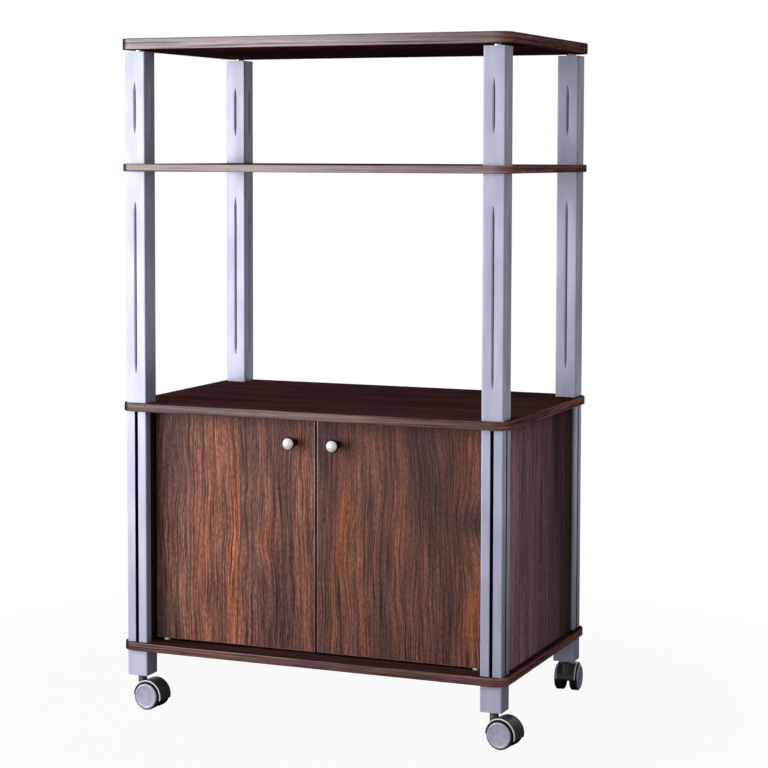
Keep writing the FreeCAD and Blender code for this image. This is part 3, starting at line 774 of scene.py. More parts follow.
def rounded_outline(half_x: float, half_y: float, radius: float,
                    steps: int) -> Tuple[np.ndarray, np.ndarray]:
    """Closed outline of a rectangle with round corners, and its outward directions.

    Each corner is a quarter circle about a centre set in by the radius. A point a little way along
    the straight side on either end of it keeps the shading of the side flat.

    Args:
        half_x: half the width.
        half_y: half the depth.
        radius: radius of the corners.
        steps: chords in a corner.

    Returns:
        Points and directions, each count by two.
    """
    turn = np.linspace(0.0, math.pi / 2, steps + 1)
    turn = np.concatenate((turn[:1], turn, turn[-1:]))
    slide = np.zeros(steps + 3)
    slide[0], slide[-1] = -EDGE_HOLD, EDGE_HOLD
    angle = np.arange(4)[:, None] * math.pi / 2 + turn
    out = np.stack((np.cos(angle), np.sin(angle)), axis=-1)
    side = np.stack((-out[..., 1], out[..., 0]), axis=-1)
    signs = np.array(((1, 1), (-1, 1), (-1, -1), (1, -1)))[:, None, :]
    centre = signs * (np.array((half_x, half_y)) - radius)
    points = centre + radius * out + slide[None, :, None] * side
    return closed(points.reshape(-1, 2)), closed(out.reshape(-1, 2))


def eased(corners: Sequence[Tuple[float, float]], ease: Sequence[float],
          steps: int = EASE_STEPS) -> np.ndarray:
    """Closed section with softened corners.

    Each corner is cut back by its ease along both sides, and the cuts are joined by the parabola
    that has the corner as its control point.

    Args:
        corners: the section's corners in order.
        ease: how far each corner is cut back.
        steps: chords in a softened corner.

    Returns:
        Points of the closed section, count by two.
    """
    middle = np.asarray(corners, float)
    before = np.roll(middle, 1, axis=0) - middle
    after = np.roll(middle, -1, axis=0) - middle
    cut = np.asarray(ease, float)[:, None]
    start = middle + cut * before / np.linalg.norm(before, axis=1, keepdims=True)
    end = middle + cut * after / np.linalg.norm(after, axis=1, keepdims=True)
    share = np.linspace(0.0, 1.0, steps + 1)[None, :, None]
    arc = ((1 - share) ** 2 * start[:, None] + 2 * share * (1 - share) * middle[:, None]
           + share ** 2 * end[:, None])
    return closed(arc.reshape(-1, 2))


def carried(outline: np.ndarray, out: np.ndarray, section: np.ndarray) -> np.ndarray:
    """A section carried round an outline.

    Each point is the outline's point moved outwards by the section's first number, and raised by
    its second.

    Args:
        outline: points of the outline, count by two.
        out: outward directions there.
        section: points of the section, count by two.

    Returns:
        Outline points by section points by three.
    """
    return raised(outline[:, None, :] + out[:, None, :] * section[None, :, :1], section[None, :, 1])


def faced_slab(outline: np.ndarray, low: float, high: float) -> np.ndarray:
    """A flat slab: two faces fanned from their middles and the wall between their outlines.

    Args:
        outline: the slab's outline, count by two.
        low: level of the lower face.
        high: level of the upper face.

    Returns:
        Four rings by outline points by three.
    """
    share = np.array((0.0, 1.0, 1.0, 0.0))
    level = np.array((low, low, high, high))
    return raised(share[:, None, None] * outline[None], level[:, None])


def spun(section: np.ndarray, steps: int) -> np.ndarray:
    """A section spun about the Y axis.

    Args:
        section: points of radius and place along Y, count by two.
        steps: chords in a full turn.

    Returns:
        Section points by turns by three.
    """
    turn = np.linspace(0.0, 2 * math.pi, steps + 1)
    radius, along = section[:, :1], section[:, 1:]
    return np.stack((radius * np.cos(turn), along + 0 * turn, radius * np.sin(turn)), axis=-1)


def band_map(outline: np.ndarray, section: np.ndarray) -> np.ndarray:
    """The band's own map: metres along the outline and metres round the section."""
    return np.stack(np.meshgrid(run_length(outline), run_length(section), indexing="ij"), axis=-1)


# The slits' middles take this groove colour as painted shade.
SILVER = SatinSilver("satin_silver", grooved=True, groove=shade(36, 37, 46))
# Near black inside the cabinet grooves, and painted shade on the strip beside each door.
GROOVED_SILVER = SatinSilver("grooved_silver", grooved=True)
# A lighter copy of the silver for the feet, which stands in for more light: painted light.
FOOT_SILVER_PAINTED_LIGHT = SatinSilver("foot_silver_painted_light", shade(213, 216, 239), shade(198, 201, 226))
BLACK_PLASTIC = MouldedPlastic("black_plastic")
# The hood's rim colour is a painted highlight along the arch's outer edges.
HOOD_PLASTIC = MouldedPlastic("hood_plastic", shade(74, 73, 79), shade(90, 89, 96), 0.36,
                              rim=shade(250, 250, 255))
TREAD_PLASTIC = MouldedPlastic("tread_plastic", shade(22, 22, 24), shade(36, 36, 39), 0.42)
CAP_LACQUER = MetallicLacquer("cap_lacquer")
# The knob's dark rim colour is painted shade over the dome's edge, rim, flare and neck.
SATIN_NICKEL = TurnedMetal("satin_nickel", shade(255, 253, 251), shade(250, 248, 247), 0.30, 0.1,
                           shade(36, 33, 34), 1.0)
ZINC_PLATE = TurnedMetal("zinc_plate", shade(186, 187, 192), shade(150, 151, 158), 0.34)
PIN_PLATE = TurnedMetal("pin_plate", shade(244, 243, 241), shade(226, 225, 224), 0.34, 0.25)
BRIGHT_PLATE = TurnedMetal("bright_plate", shade(222, 222, 226), shade(200, 200, 206), 0.14)
LEFT_WALNUT = Walnut("left_side_walnut", Grain.SIDE, 53.0, tone=0.82, contrast=0.75, gloss=0.1)
# Its tone falls steeply from the front edge to the back edge: painted shade.
RIGHT_WALNUT = Walnut("right_side_walnut", Grain.SIDE, 41.0, plum=shade(104, 81, 82),
                      brown=shade(126, 97, 94), warm=shade(138, 100, 88), dark=shade(78, 63, 66), tone=2.05,
                      painted_shade_slope=-5.4, contrast=0.5, chop=0.5, streaks=0.1, gloss=0.0)
BACK_WALNUT = Walnut("back_walnut", Grain.DOOR, 77.0, tone=0.76, contrast=0.7, streaks=0.3, rough=0.6,
                     gloss=0.15)


@dataclass
class Board:
    """A walnut board: a slab faced with laminate and a band glued round its edge.

    The band is marked below 0 at the left end, for painted shade, and above 0 at the right end, for painted
    light, and along its upper edge by the painted top highlight's strength, for a painted highlight.
    """

    node: str
    bottom: float
    top: float
    face: Walnut
    band: Walnut
    painted_top_highlight: float = 0.0
    half_width: float = 0.300
    half_depth: float = 0.188
    corner: float = 0.022
    rounding: float = 0.0012
    band_thickness: float = 0.0016
    corner_steps: int = 14
    painted_end_start: float = 0.35
    painted_end_spread: float = 0.3
    top_highlight_share: float = 0.4

    def slab(self) -> Surface:
        """The slab inside the band."""
        inset = self.band_thickness
        outline, _ = rounded_outline(self.half_width - inset, self.half_depth - inset,
                                     self.corner - inset, self.corner_steps)
        return Surface.of(faced_slab(outline, self.bottom, self.top))

    def edge_band(self) -> Surface:
        """The band: a slim rectangle with eased outer corners, carried round the board."""
        outline, out = rounded_outline(self.half_width, self.half_depth, self.corner, self.corner_steps)
        inner = -self.band_thickness
        section = eased(((inner, self.top), (inner, self.bottom), (0.0, self.bottom), (0.0, self.top)),
                        (0.0, 0.0, self.rounding, self.rounding))
        facing = out[:, :1]
        # Painted shade on the left end, painted light on the right end and a painted highlight along the
        # upper edge.
        end = np.sign(facing) * np.clip((np.abs(facing) - self.painted_end_start) / self.painted_end_spread, 0.0, 1.0)
        crest = self.painted_top_highlight * (section[None, :, 1] > self.top - self.top_highlight_share * self.rounding)
        mark = np.where(np.abs(end) < crest, crest, end)
        return Surface.of(carried(outline, out, section), band_map(outline, section), mark)

    def build(self) -> None:
        """Make both pieces of the board."""
        self.slab().piece(self.node + "_slab", FRAME_BODY, "walnut_board", self.face, [self.node])
        self.edge_band().piece(self.node + "_edge_band", FRAME_BODY, "walnut_board", self.band, [self.node])


@dataclass
class Door:
    """A cabinet door with its edge band and knob."""

    name: str
    side: int
    face: Walnut
    band: Walnut
    free_edge: float = 0.0015
    hinge_edge: float = 0.258
    front: float = -0.153
    back: float = -0.141
    low: float = 0.1034
    high: float = 0.4386
    corner: float = 0.0008
    rounding: float = 0.0010
    back_rounding: float = 0.0003
    band_thickness: float = 0.0012
    knob_x: float = 0.034
    knob_z: float = 0.406
    knob_length: float = 0.026
    base_radius: float = 0.0055
    base_length: float = 0.002
    neck_radius: float = 0.004
    head_radius: float = 0.0095
    rim_length: float = 0.0025
    dome_height: float = 0.005
    flare_length: float = 0.007
    knob_ease: float = 0.0005
    knob_steps: int = 56
    flare_points: int = 11
    dome_points: int = 15
    bright_share: float = 0.65

    @property
    def body(self) -> str:
        """The moving body that the door's pieces ride on."""
        return self.name + "_door_leaf"

    def stood(self, points: np.ndarray) -> np.ndarray:
        """Points laid flat about the door's middle, stood upright in the doorway."""
        middle_x = self.side * (self.free_edge + self.hinge_edge) / 2
        middle_z = (self.low + self.high) / 2
        return np.stack((points[..., 0] + middle_x, points[..., 2], points[..., 1] + middle_z), axis=-1)

    def leaf(self) -> Surface:
        """The leaf inside the band, faced with laminate."""
        inset = self.band_thickness
        outline, _ = rounded_outline((self.hinge_edge - self.free_edge) / 2 - inset,
                                     (self.high - self.low) / 2 - inset, self.corner / 2, 2)
        return Surface.of(self.stood(faced_slab(outline, self.front, self.back)))

    def edge_band(self) -> Surface:
        """The band: a slim rectangle, eased in front and marked there for a painted highlight, carried round
        the leaf.
        """
        outline, out = rounded_outline((self.hinge_edge - self.free_edge) / 2,
                                       (self.high - self.low) / 2, self.corner, EASE_STEPS)
        inner = -self.band_thickness
        section = eased(((inner, self.front), (inner, self.back), (0.0, self.back), (0.0, self.front)),
                        (0.0, 0.0, self.back_rounding, self.rounding))
        mark = np.zeros((len(outline), len(section)))
        # The section ends with the eased front corner, whose inner points are marked for a painted highlight
        mark[:, -EASE_STEPS - 1:-2] = 1.0
        return Surface.of(self.stood(carried(outline, out, section)), band_map(outline, section), mark)

    def knob_section(self) -> np.ndarray:
        """Half section of the knob, as radius and distance out from the door.

        A small foot, a slim neck, a quarter-ellipse flare, a narrow rim with eased edges and a
        spherical dome.

        Returns:
            Points from the foot's middle to the dome's top, count by two.
        """
        rim_end = self.knob_length - self.dome_height
        rim_start = rim_end - self.rim_length
        quarter = np.linspace(0.0, math.pi / 2, self.flare_points)
        flare = np.stack((self.head_radius - (self.head_radius - self.neck_radius) * np.cos(quarter),
                          rim_start - self.flare_length * (1.0 - np.sin(quarter))), axis=1)
        sphere = (self.head_radius ** 2 + self.dome_height ** 2) / (2 * self.dome_height)
        swing = np.linspace(math.asin(self.head_radius / sphere), 0.0, self.dome_points)
        dome = np.stack((sphere * np.sin(swing),
                         self.knob_length - sphere * (1.0 - np.cos(swing))), axis=1)
        ease = self.knob_ease
        foot = np.array(((0.0, 0.0), (self.base_radius - ease, 0.0), (self.base_radius, ease),
                         (self.base_radius, self.base_length - ease),
                         (self.base_radius - ease, self.base_length),
                         (self.neck_radius + ease, self.base_length),
                         (self.neck_radius, self.base_length + 2 * ease)))
        rim = np.array(((self.head_radius, rim_start + ease), (self.head_radius, rim_end - ease)))
        return np.concatenate((foot, flare, rim, dome))

    def knob(self) -> Surface:
        """The knob: its half section spun about its screw, marked from the foot of its dome down for painted
        shade.
        """
        section = self.knob_section()
        turned = spun(section * np.array((1.0, -1.0)), self.knob_steps)
        below = section[:, 1] < self.knob_length - self.bright_share * self.dome_height
        mark = np.broadcast_to(below[:, None].astype(float), turned.shape[:2])
        screw = np.array((self.side * self.knob_x, self.front, self.knob_z))
        return Surface.of(turned + screw, marked=mark)

    def build(self) -> None:
        """Make the leaf, its band and the knob."""
        node = self.name + "_door"
        self.leaf().piece(node + "_face", self.body, "walnut_door", self.face, [node])
        self.edge_band().piece(node + "_edge_band", self.body, "walnut_door", self.band, [node])
        self.knob().piece(self.name + "_turned_knob", self.body, "knob_metal", SATIN_NICKEL,
                          [self.name + "_knob"], sharp=50.0)


@dataclass
class SlitPost:
    """A square silver tube, with a tapered slit pressed into each face if it has slits.

    The slit's columns stand at shares of its half width. Its root and lips are rounded by small terms
    under square roots, and its middle is marked for painted shade.
    """

    HALF_COLUMNS: ClassVar[Tuple[float, ...]] = (1.2, 1.08, 1.0, 0.9, 0.5, 0.1)
    ROOT_ROUND: ClassVar[float] = 0.04
    LIP_ROUND: ClassVar[float] = 0.002
    SHADE_HALF: ClassVar[float] = 0.5
    SHADE_FADE: ClassVar[float] = 0.35
    SHADE_RISE: ClassVar[float] = 4.0

    node: str
    place: np.ndarray
    bottom: float
    top: float
    slits: bool = True
    slit_half_width: float = 0.0023
    slit_depth: float = 0.0024
    slit_taper: float = 0.016
    slit_margin: float = 0.042
    taper_rows: int = 9
    corner_steps: int = 5

    def opening(self, level: np.ndarray) -> np.ndarray:
        """How far the slit has opened at each level, from 0 at its points to 1."""
        start, end = self.bottom + self.slit_margin, self.top - self.slit_margin
        share = np.clip(np.minimum(level - start, end - level) / self.slit_taper, 0.0, 1.0)
        return share * (1.5 - 0.5 * share)

    def levels(self) -> np.ndarray:
        """Levels of the grid's rows, close together where the slit tapers."""
        if not self.slits:
            return np.array((self.bottom, self.top))
        ramp = np.linspace(0.0, 1.0, self.taper_rows) * self.slit_taper
        start, end = self.bottom + self.slit_margin, self.top - self.slit_margin
        return np.concatenate(((self.bottom,), start + ramp, end - ramp[::-1], (self.top,)))

    def skin(self, inset: float) -> Tuple[np.ndarray, np.ndarray]:
        """The tube's outer or inner skin.

        Each face is a row of columns. Those in the middle spread with the slit's opening and sink
        as a V with a rounded root and rounded lips. A quarter circle joins each face to the next.

        Args:
            inset: how far the skin lies inside the outer faces.

        Returns:
            Rows by columns by three, and how far each point is inside the slit's painted shade.
        """
        level = self.levels()
        open_share = self.opening(level) if self.slits else 0.0 * level
        side = np.array(self.HALF_COLUMNS)
        reach = np.concatenate((-side, (0.0,), side[::-1]))
        wall = 1.0 - (np.sqrt(reach ** 2 + self.ROOT_ROUND ** 2) - self.ROOT_ROUND)
        sink = np.where(np.abs(reach) < side[0], (np.sqrt(wall ** 2 + self.LIP_ROUND) + wall) / 2, 0.0)
        half = POST_SIZE / 2
        flat = half - POST_CORNER
        across = self.slit_half_width * open_share[:, None] * reach
        edge = np.broadcast_to(np.array((flat, flat - EDGE_HOLD)), (len(level), 2))
        across = np.concatenate((-edge, across, edge[:, ::-1]), axis=1)
        depth = np.pad(self.slit_depth * open_share[:, None] * sink, ((0, 0), (2, 2)))
        turn = np.linspace(0.0, math.pi / 2, self.corner_steps + 1)[1:-1]
        radius = POST_CORNER - inset
        bend_out = np.broadcast_to(flat + radius * np.cos(turn), (len(level), len(turn)))
        bend_side = np.broadcast_to(flat + radius * np.sin(turn), (len(level), len(turn)))
        outward = np.concatenate((half - inset - depth, bend_out), axis=1)
        sideways = np.concatenate((across, bend_side), axis=1)
        # The slit's middle is marked for painted shade, as dark as the shade in its root.
        middle = np.clip((self.SHADE_HALF - np.abs(reach)) / self.SHADE_FADE, 0.0, 1.0)
        inside = np.minimum(self.SHADE_RISE * open_share, 1.0)[:, None] * middle
        mark = np.pad(inside, ((0, 0), (2, 2 + len(turn))))
        flat_ring = four_sides(outward, sideways).transpose(1, 0, 2, 3).reshape(len(level), -1, 2)
        ring = raised(flat_ring, level[:, None])
        mark = np.tile(mark, (1, 4))
        return (np.concatenate((ring, ring[:, :1]), axis=1) + self.place,
                np.concatenate((mark, mark[:, :1]), axis=1))

    def add_to(self, made: Surface) -> None:
        """Add the tube's closed wall: the outer skin up, the inner skin down, and their ends."""
        outer, mark = self.skin(0.0)
        inner, _ = self.skin(TUBE_WALL)
        made.add(np.concatenate((outer, inner[::-1], outer[:1])),
                 marked=np.concatenate((mark, 0 * mark, mark[:1])))

    def build(self) -> None:
        """Make the post's one piece."""
        made = Surface()
        self.add_to(made)
        made.piece(self.node + "_tube", FRAME_BODY, "silver_tube", SILVER, [self.node])


@dataclass
class GroovedPost:
    """A cabinet post: a square extrusion with a deep black groove along each face.

    Beside a door, the half of its inner face behind the groove is painted black as shade.
    """

    node: str
    place: np.ndarray
    shaded_beside_door: bool
    bottom: float = FLOOR_TOP
    top: float = CABINET_UNDERSIDE
    groove_half: float = 0.0025
    groove_depth: float = 0.008
    lip: float = 0.0004
    lip_points: int = 5
    corner_steps: int = 5

    def face(self) -> Tuple[np.ndarray, np.ndarray, np.ndarray]:
        """One face from corner to corner: place along it, depth below it, and the groove's mark.

        Returns:
            Three rows of numbers for half a face followed by its mirror image.
        """
        flat = POST_SIZE / 2 - POST_CORNER
        turn = np.linspace(0.0, math.pi / 2, self.lip_points)
        lip_start = self.groove_half + self.lip
        along = np.concatenate(((-flat, -flat + EDGE_HOLD, -lip_start - EDGE_HOLD),
                                -lip_start + self.lip * np.sin(turn), (-self.groove_half,) * 3))
        depth = np.concatenate(((0.0, 0.0, 0.0), self.lip * (1.0 - np.cos(turn)),
                                (2 * self.lip, 3 * self.lip, self.groove_depth)))
        mark = np.concatenate((np.zeros(2 + len(turn)), (1.0,) * 4))
        return (np.concatenate((along, -along[::-1])), np.concatenate((depth, depth[::-1])),
                np.concatenate((mark, mark[::-1])))

    def build(self) -> None:
        """Make the post's one piece: its section raised between two levels."""
        along, depth, mark = self.face()
        half = POST_SIZE / 2
        turn = np.linspace(0.0, math.pi / 2, self.corner_steps + 1)[1:-1]
        outward = np.concatenate((half - depth, half - POST_CORNER + POST_CORNER * np.cos(turn)))
        sideways = np.concatenate((along, half - POST_CORNER + POST_CORNER * np.sin(turn)))
        marked = np.tile(np.concatenate((mark, 0 * turn)), (4, 1))
        # Painted shade: beside a door, the half of the inner face behind the groove is coloured black.
        if self.shaded_beside_door:
            face = 0 if self.place[0] < 0 else 2
            shaded_half = sideways[:len(along)] * (1 - face) > self.groove_half
            marked[face, :len(along)][shaded_half] = 1.0
        loop = closed(four_sides(outward, sideways).reshape(-1, 2))
        level = np.array(((self.bottom,), (self.top,)))
        made = Surface.of(raised(np.broadcast_to(loop, (2, *loop.shape)), level) + self.place,
                          marked=np.tile(closed(marked.ravel()), (2, 1)), capped=True)
        made.piece(self.node + "_extrusion", FRAME_BODY, "grooved_post", GROOVED_SILVER, [self.node])


@dataclass
class Caster:
    """A twin-wheel caster: arched hood with web and neck, two wheels and two caps."""

    corner: Corner
    turn: float
    trail: float = 0.016
    wheel_radius: float = 0.020
    inner_face: float = 0.005
    rim_width: float = 0.012
    rim_inside: float = 0.0165
    lip_inside: float = 0.0186
    hub_radius: float = 0.006
    bore: float = 0.00255
    cap_seat: float = 0.0145
    web_inner: float = 0.0115
    cap_radius: float = 0.0185
    cap_face: float = 0.0186
    hood_inner: float = 0.0212
    hood_outer: float = 0.0234
    hood_half: float = 0.015
    web_half: float = 0.0042
    rim_band: float = 0.0015
    boss_radius: float = 0.007
    back_drop: float = 14.0
    neck_radius: float = 0.0064
    neck_top: float = 0.0477
    neck_shares: Tuple[float, ...] = (0.0, 1.0, 1.0, 0.94, 0.46, 0.44)
    neck_ease: float = 0.0005
    stem_hole: float = 0.006
    arch_end: float = 1.6
    arch_narrowing: float = 0.06
    arch_turns: int = 60
    web_turns: int = 41
    boss_turns: int = 21
    dish_radius: float = 0.0150
    dish_depth: float = 0.0007
    dish_rise: float = 0.0004
    bead_foot: float = 0.0156
    bead_step: float = 0.0001
    bead_radius: float = 0.0018
    steps: int = 72

    @property
    def name(self) -> str:
        """The start of the names of the caster's solids."""
        return self.corner.label + "_caster"

    @property
    def mid_wall(self) -> float:
        """Radius of the middle of the arch's wall."""
        return (self.hood_inner + self.hood_outer) / 2

    def placed(self, points: np.ndarray) -> np.ndarray:
        """Points of the caster at its stem, turned and set under its post."""
        angle = math.radians(self.turn)
        cos, sin = math.cos(angle), math.sin(angle)
        spin = np.array(((cos, sin, 0.0), (-sin, cos, 0.0), (0.0, 0.0, 1.0)))
        return points @ spin + self.corner.place

    def on_axle(self, points: np.ndarray) -> np.ndarray:
        """Points about the axle's middle, placed under the post."""
        return self.placed(points + np.array((self.trail, 0.0, self.wheel_radius)))

    def arch(self) -> Tuple[np.ndarray, np.ndarray]:
        """The cover over both wheels: a curved strip carried round the axle.

        The strip's section is a thin rectangle with eased edges. It shrinks to its middle along a
        quarter circle at both ends, which rounds them.

        Returns:
            Turns by section points by three, about the axle, and the mark of its two outer rims, where a
            highlight is painted.
        """
        width = self.hood_half
        flat = width - self.rim_band
        section = eased(((-width, self.hood_inner), (width, self.hood_inner), (width, self.hood_outer),
                         (flat, self.hood_outer), (-flat, self.hood_outer), (-width, self.hood_outer)),
                        (0.0003, 0.0003, 0.0009, 0.0, 0.0, 0.0009))
        mark = closed(np.repeat((0.0, 0.0, 1.0, 0.0, 0.0, 1.0), EASE_STEPS + 1))
        middle = np.array((0.0, self.mid_wall))
        start, end = math.radians(-self.back_drop), math.pi
        short = math.radians(self.arch_end)
        soft = short * (1.0 - np.cos(np.linspace(0.0, math.pi / 2, 6)))
        long = np.linspace(start, end, self.arch_turns)[2:-2]
        turn = np.concatenate((start + soft, long, end - soft[::-1]))
        near = np.clip(np.minimum(turn - start, end - turn) / short, 0.0, 1.0)
        shrink = np.sqrt(1.0 - (1.0 - near) ** 2)
        scale = np.stack((1.0 - self.arch_narrowing * (1.0 - shrink), shrink), axis=1)
        sized = middle + (section - middle)[None] * scale[:, None, :]
        across, radius = sized[..., 0], sized[..., 1]
        points = np.stack((radius * np.cos(turn)[:, None], across, radius * np.sin(turn)[:, None]), axis=-1)
        return points, np.tile(mark, (len(turn), 1))

    def web(self) -> np.ndarray:
        """The plate between the wheels: half a disc above the axle and the axle boss below it.

        Returns:
            Rings by turns by three, about the axle, from one face's middle to the other's.
        """
        upper = np.linspace(0.0, math.pi, self.web_turns)
        lower = np.linspace(math.pi, 2 * math.pi, self.boss_turns)
        turn = np.concatenate((upper, lower, (0.0,)))
        radius = np.concatenate((0 * upper + self.mid_wall, 0 * lower + self.boss_radius, (self.mid_wall,)))
        share = np.array((0.0, 1.0, 1.0, 0.0))[:, None]
        across = np.array((-1.0, -1.0, 1.0, 1.0))[:, None] * self.web_half
        return np.stack((share * radius * np.cos(turn), across + 0 * turn,
                         share * radius * np.sin(turn)), axis=-1)

    def neck(self) -> np.ndarray:
        """The swivel neck: a round post that grows out of the arch with a small flare.

        Its lower ring lies in the arch's wall, where its height over the axle follows the circle of
        the arch, and its top is pierced for the stem.

        Returns:
            Rings by turns by three, about the stem.
        """
        turn = np.linspace(0.0, 2 * math.pi, 49)
        cos, sin = np.cos(turn), np.sin(turn)

        def root(radius: float) -> np.ndarray:
            """Level of the arch's wall under a ring."""
            span = self.mid_wall ** 2 - (radius * cos - self.trail) ** 2
            return self.wheel_radius + np.sqrt(np.maximum(span, 0.0))

        radii = np.array((*self.neck_shares, 0.0))[:, None] * self.neck_radius
        hole = self.neck_top - self.stem_hole
        flat = np.array((self.neck_top - self.neck_ease, self.neck_top, self.neck_top, hole, hole))
        levels = np.concatenate((np.stack((root(0.0), root(self.neck_radius))), flat[:, None] + 0 * turn))
        return np.stack((radii * cos, radii * sin, levels), axis=-1)

    def hood(self) -> Surface:
        """The hood: arch, web and neck."""
        made = Surface()
        arch, mark = self.arch()
        made.add(self.on_axle(arch), marked=mark)
        made.add(self.on_axle(self.web()))
        made.add(self.placed(self.neck()))
        return made

    def wheel(self, side: int) -> Surface:
        """A wheel: rim with eased shoulders, web and hub, recessed for its cap."""
        outer = self.inner_face + self.rim_width
        corners = ((self.bore, self.inner_face), (self.hub_radius, self.inner_face),
                   (self.hub_radius, self.web_inner), (self.rim_inside, self.web_inner),
                   (self.rim_inside, self.inner_face), (self.wheel_radius, self.inner_face),
                   (self.wheel_radius, outer), (self.lip_inside, outer),
                   (self.lip_inside, self.cap_seat), (self.bore, self.cap_seat))
        ease = (0.0, 0.0004, 0.0006, 0.0006, 0.0003, 0.0030, 0.0012, 0.0001, 0.0, 0.0)
        section = eased(corners, ease, 7) * np.array((1.0, side))
        return Surface.of(self.on_axle(spun(section, self.steps)))

    def cap(self, side: int) -> Surface:
        """A cap: a shallow dish inside a rolled rim.

        The face is a parabola that rises from the middle to the rim, which is a rounded bead.

        Args:
            side: which wheel it closes.

        Returns:
            The cap's surface.
        """
        dish = np.linspace(0.0, self.dish_radius, 9)
        bowl = self.cap_face - self.dish_depth + self.dish_rise * (dish / dish[-1]) ** 2
        face = np.stack((dish, bowl), axis=1)
        roll = np.linspace(0.0, math.pi / 2, 7)
        crest = self.cap_radius - self.bead_radius
        bead = np.stack((crest + self.bead_radius * np.sin(roll),
                         self.cap_face - self.bead_radius * (1 - np.cos(roll))), axis=1)
        foot = np.array(((self.bead_foot, self.cap_face - self.bead_step),))
        seat = np.array(((self.cap_radius, self.cap_seat), (0.0, self.cap_seat)))
        section = np.concatenate((face, foot, bead, seat)) * np.array((1.0, side))
        return Surface.of(self.on_axle(spun(section, self.steps)))

    def build(self) -> None:
        """Make the hood, both wheels and both caps."""
        self.hood().piece(self.name + "_moulded_hood", self.name, "caster_hood", HOOD_PLASTIC,
                          [self.name + "_hood"])
        for letter, side in (("a", -1), ("b", 1)):
            body = f"{self.corner.label}_roller_{letter}"
            self.wheel(side).piece(f"{self.name}_tread_{letter}", body, "wheel_tread", TREAD_PLASTIC,
                                   [f"{self.name}_wheel_{letter}"])
            self.cap(side).piece(f"{self.name}_disc_{letter}", body, "wheel_cap", CAP_LACQUER,
                                 [f"{self.name}_cap_{letter}"])


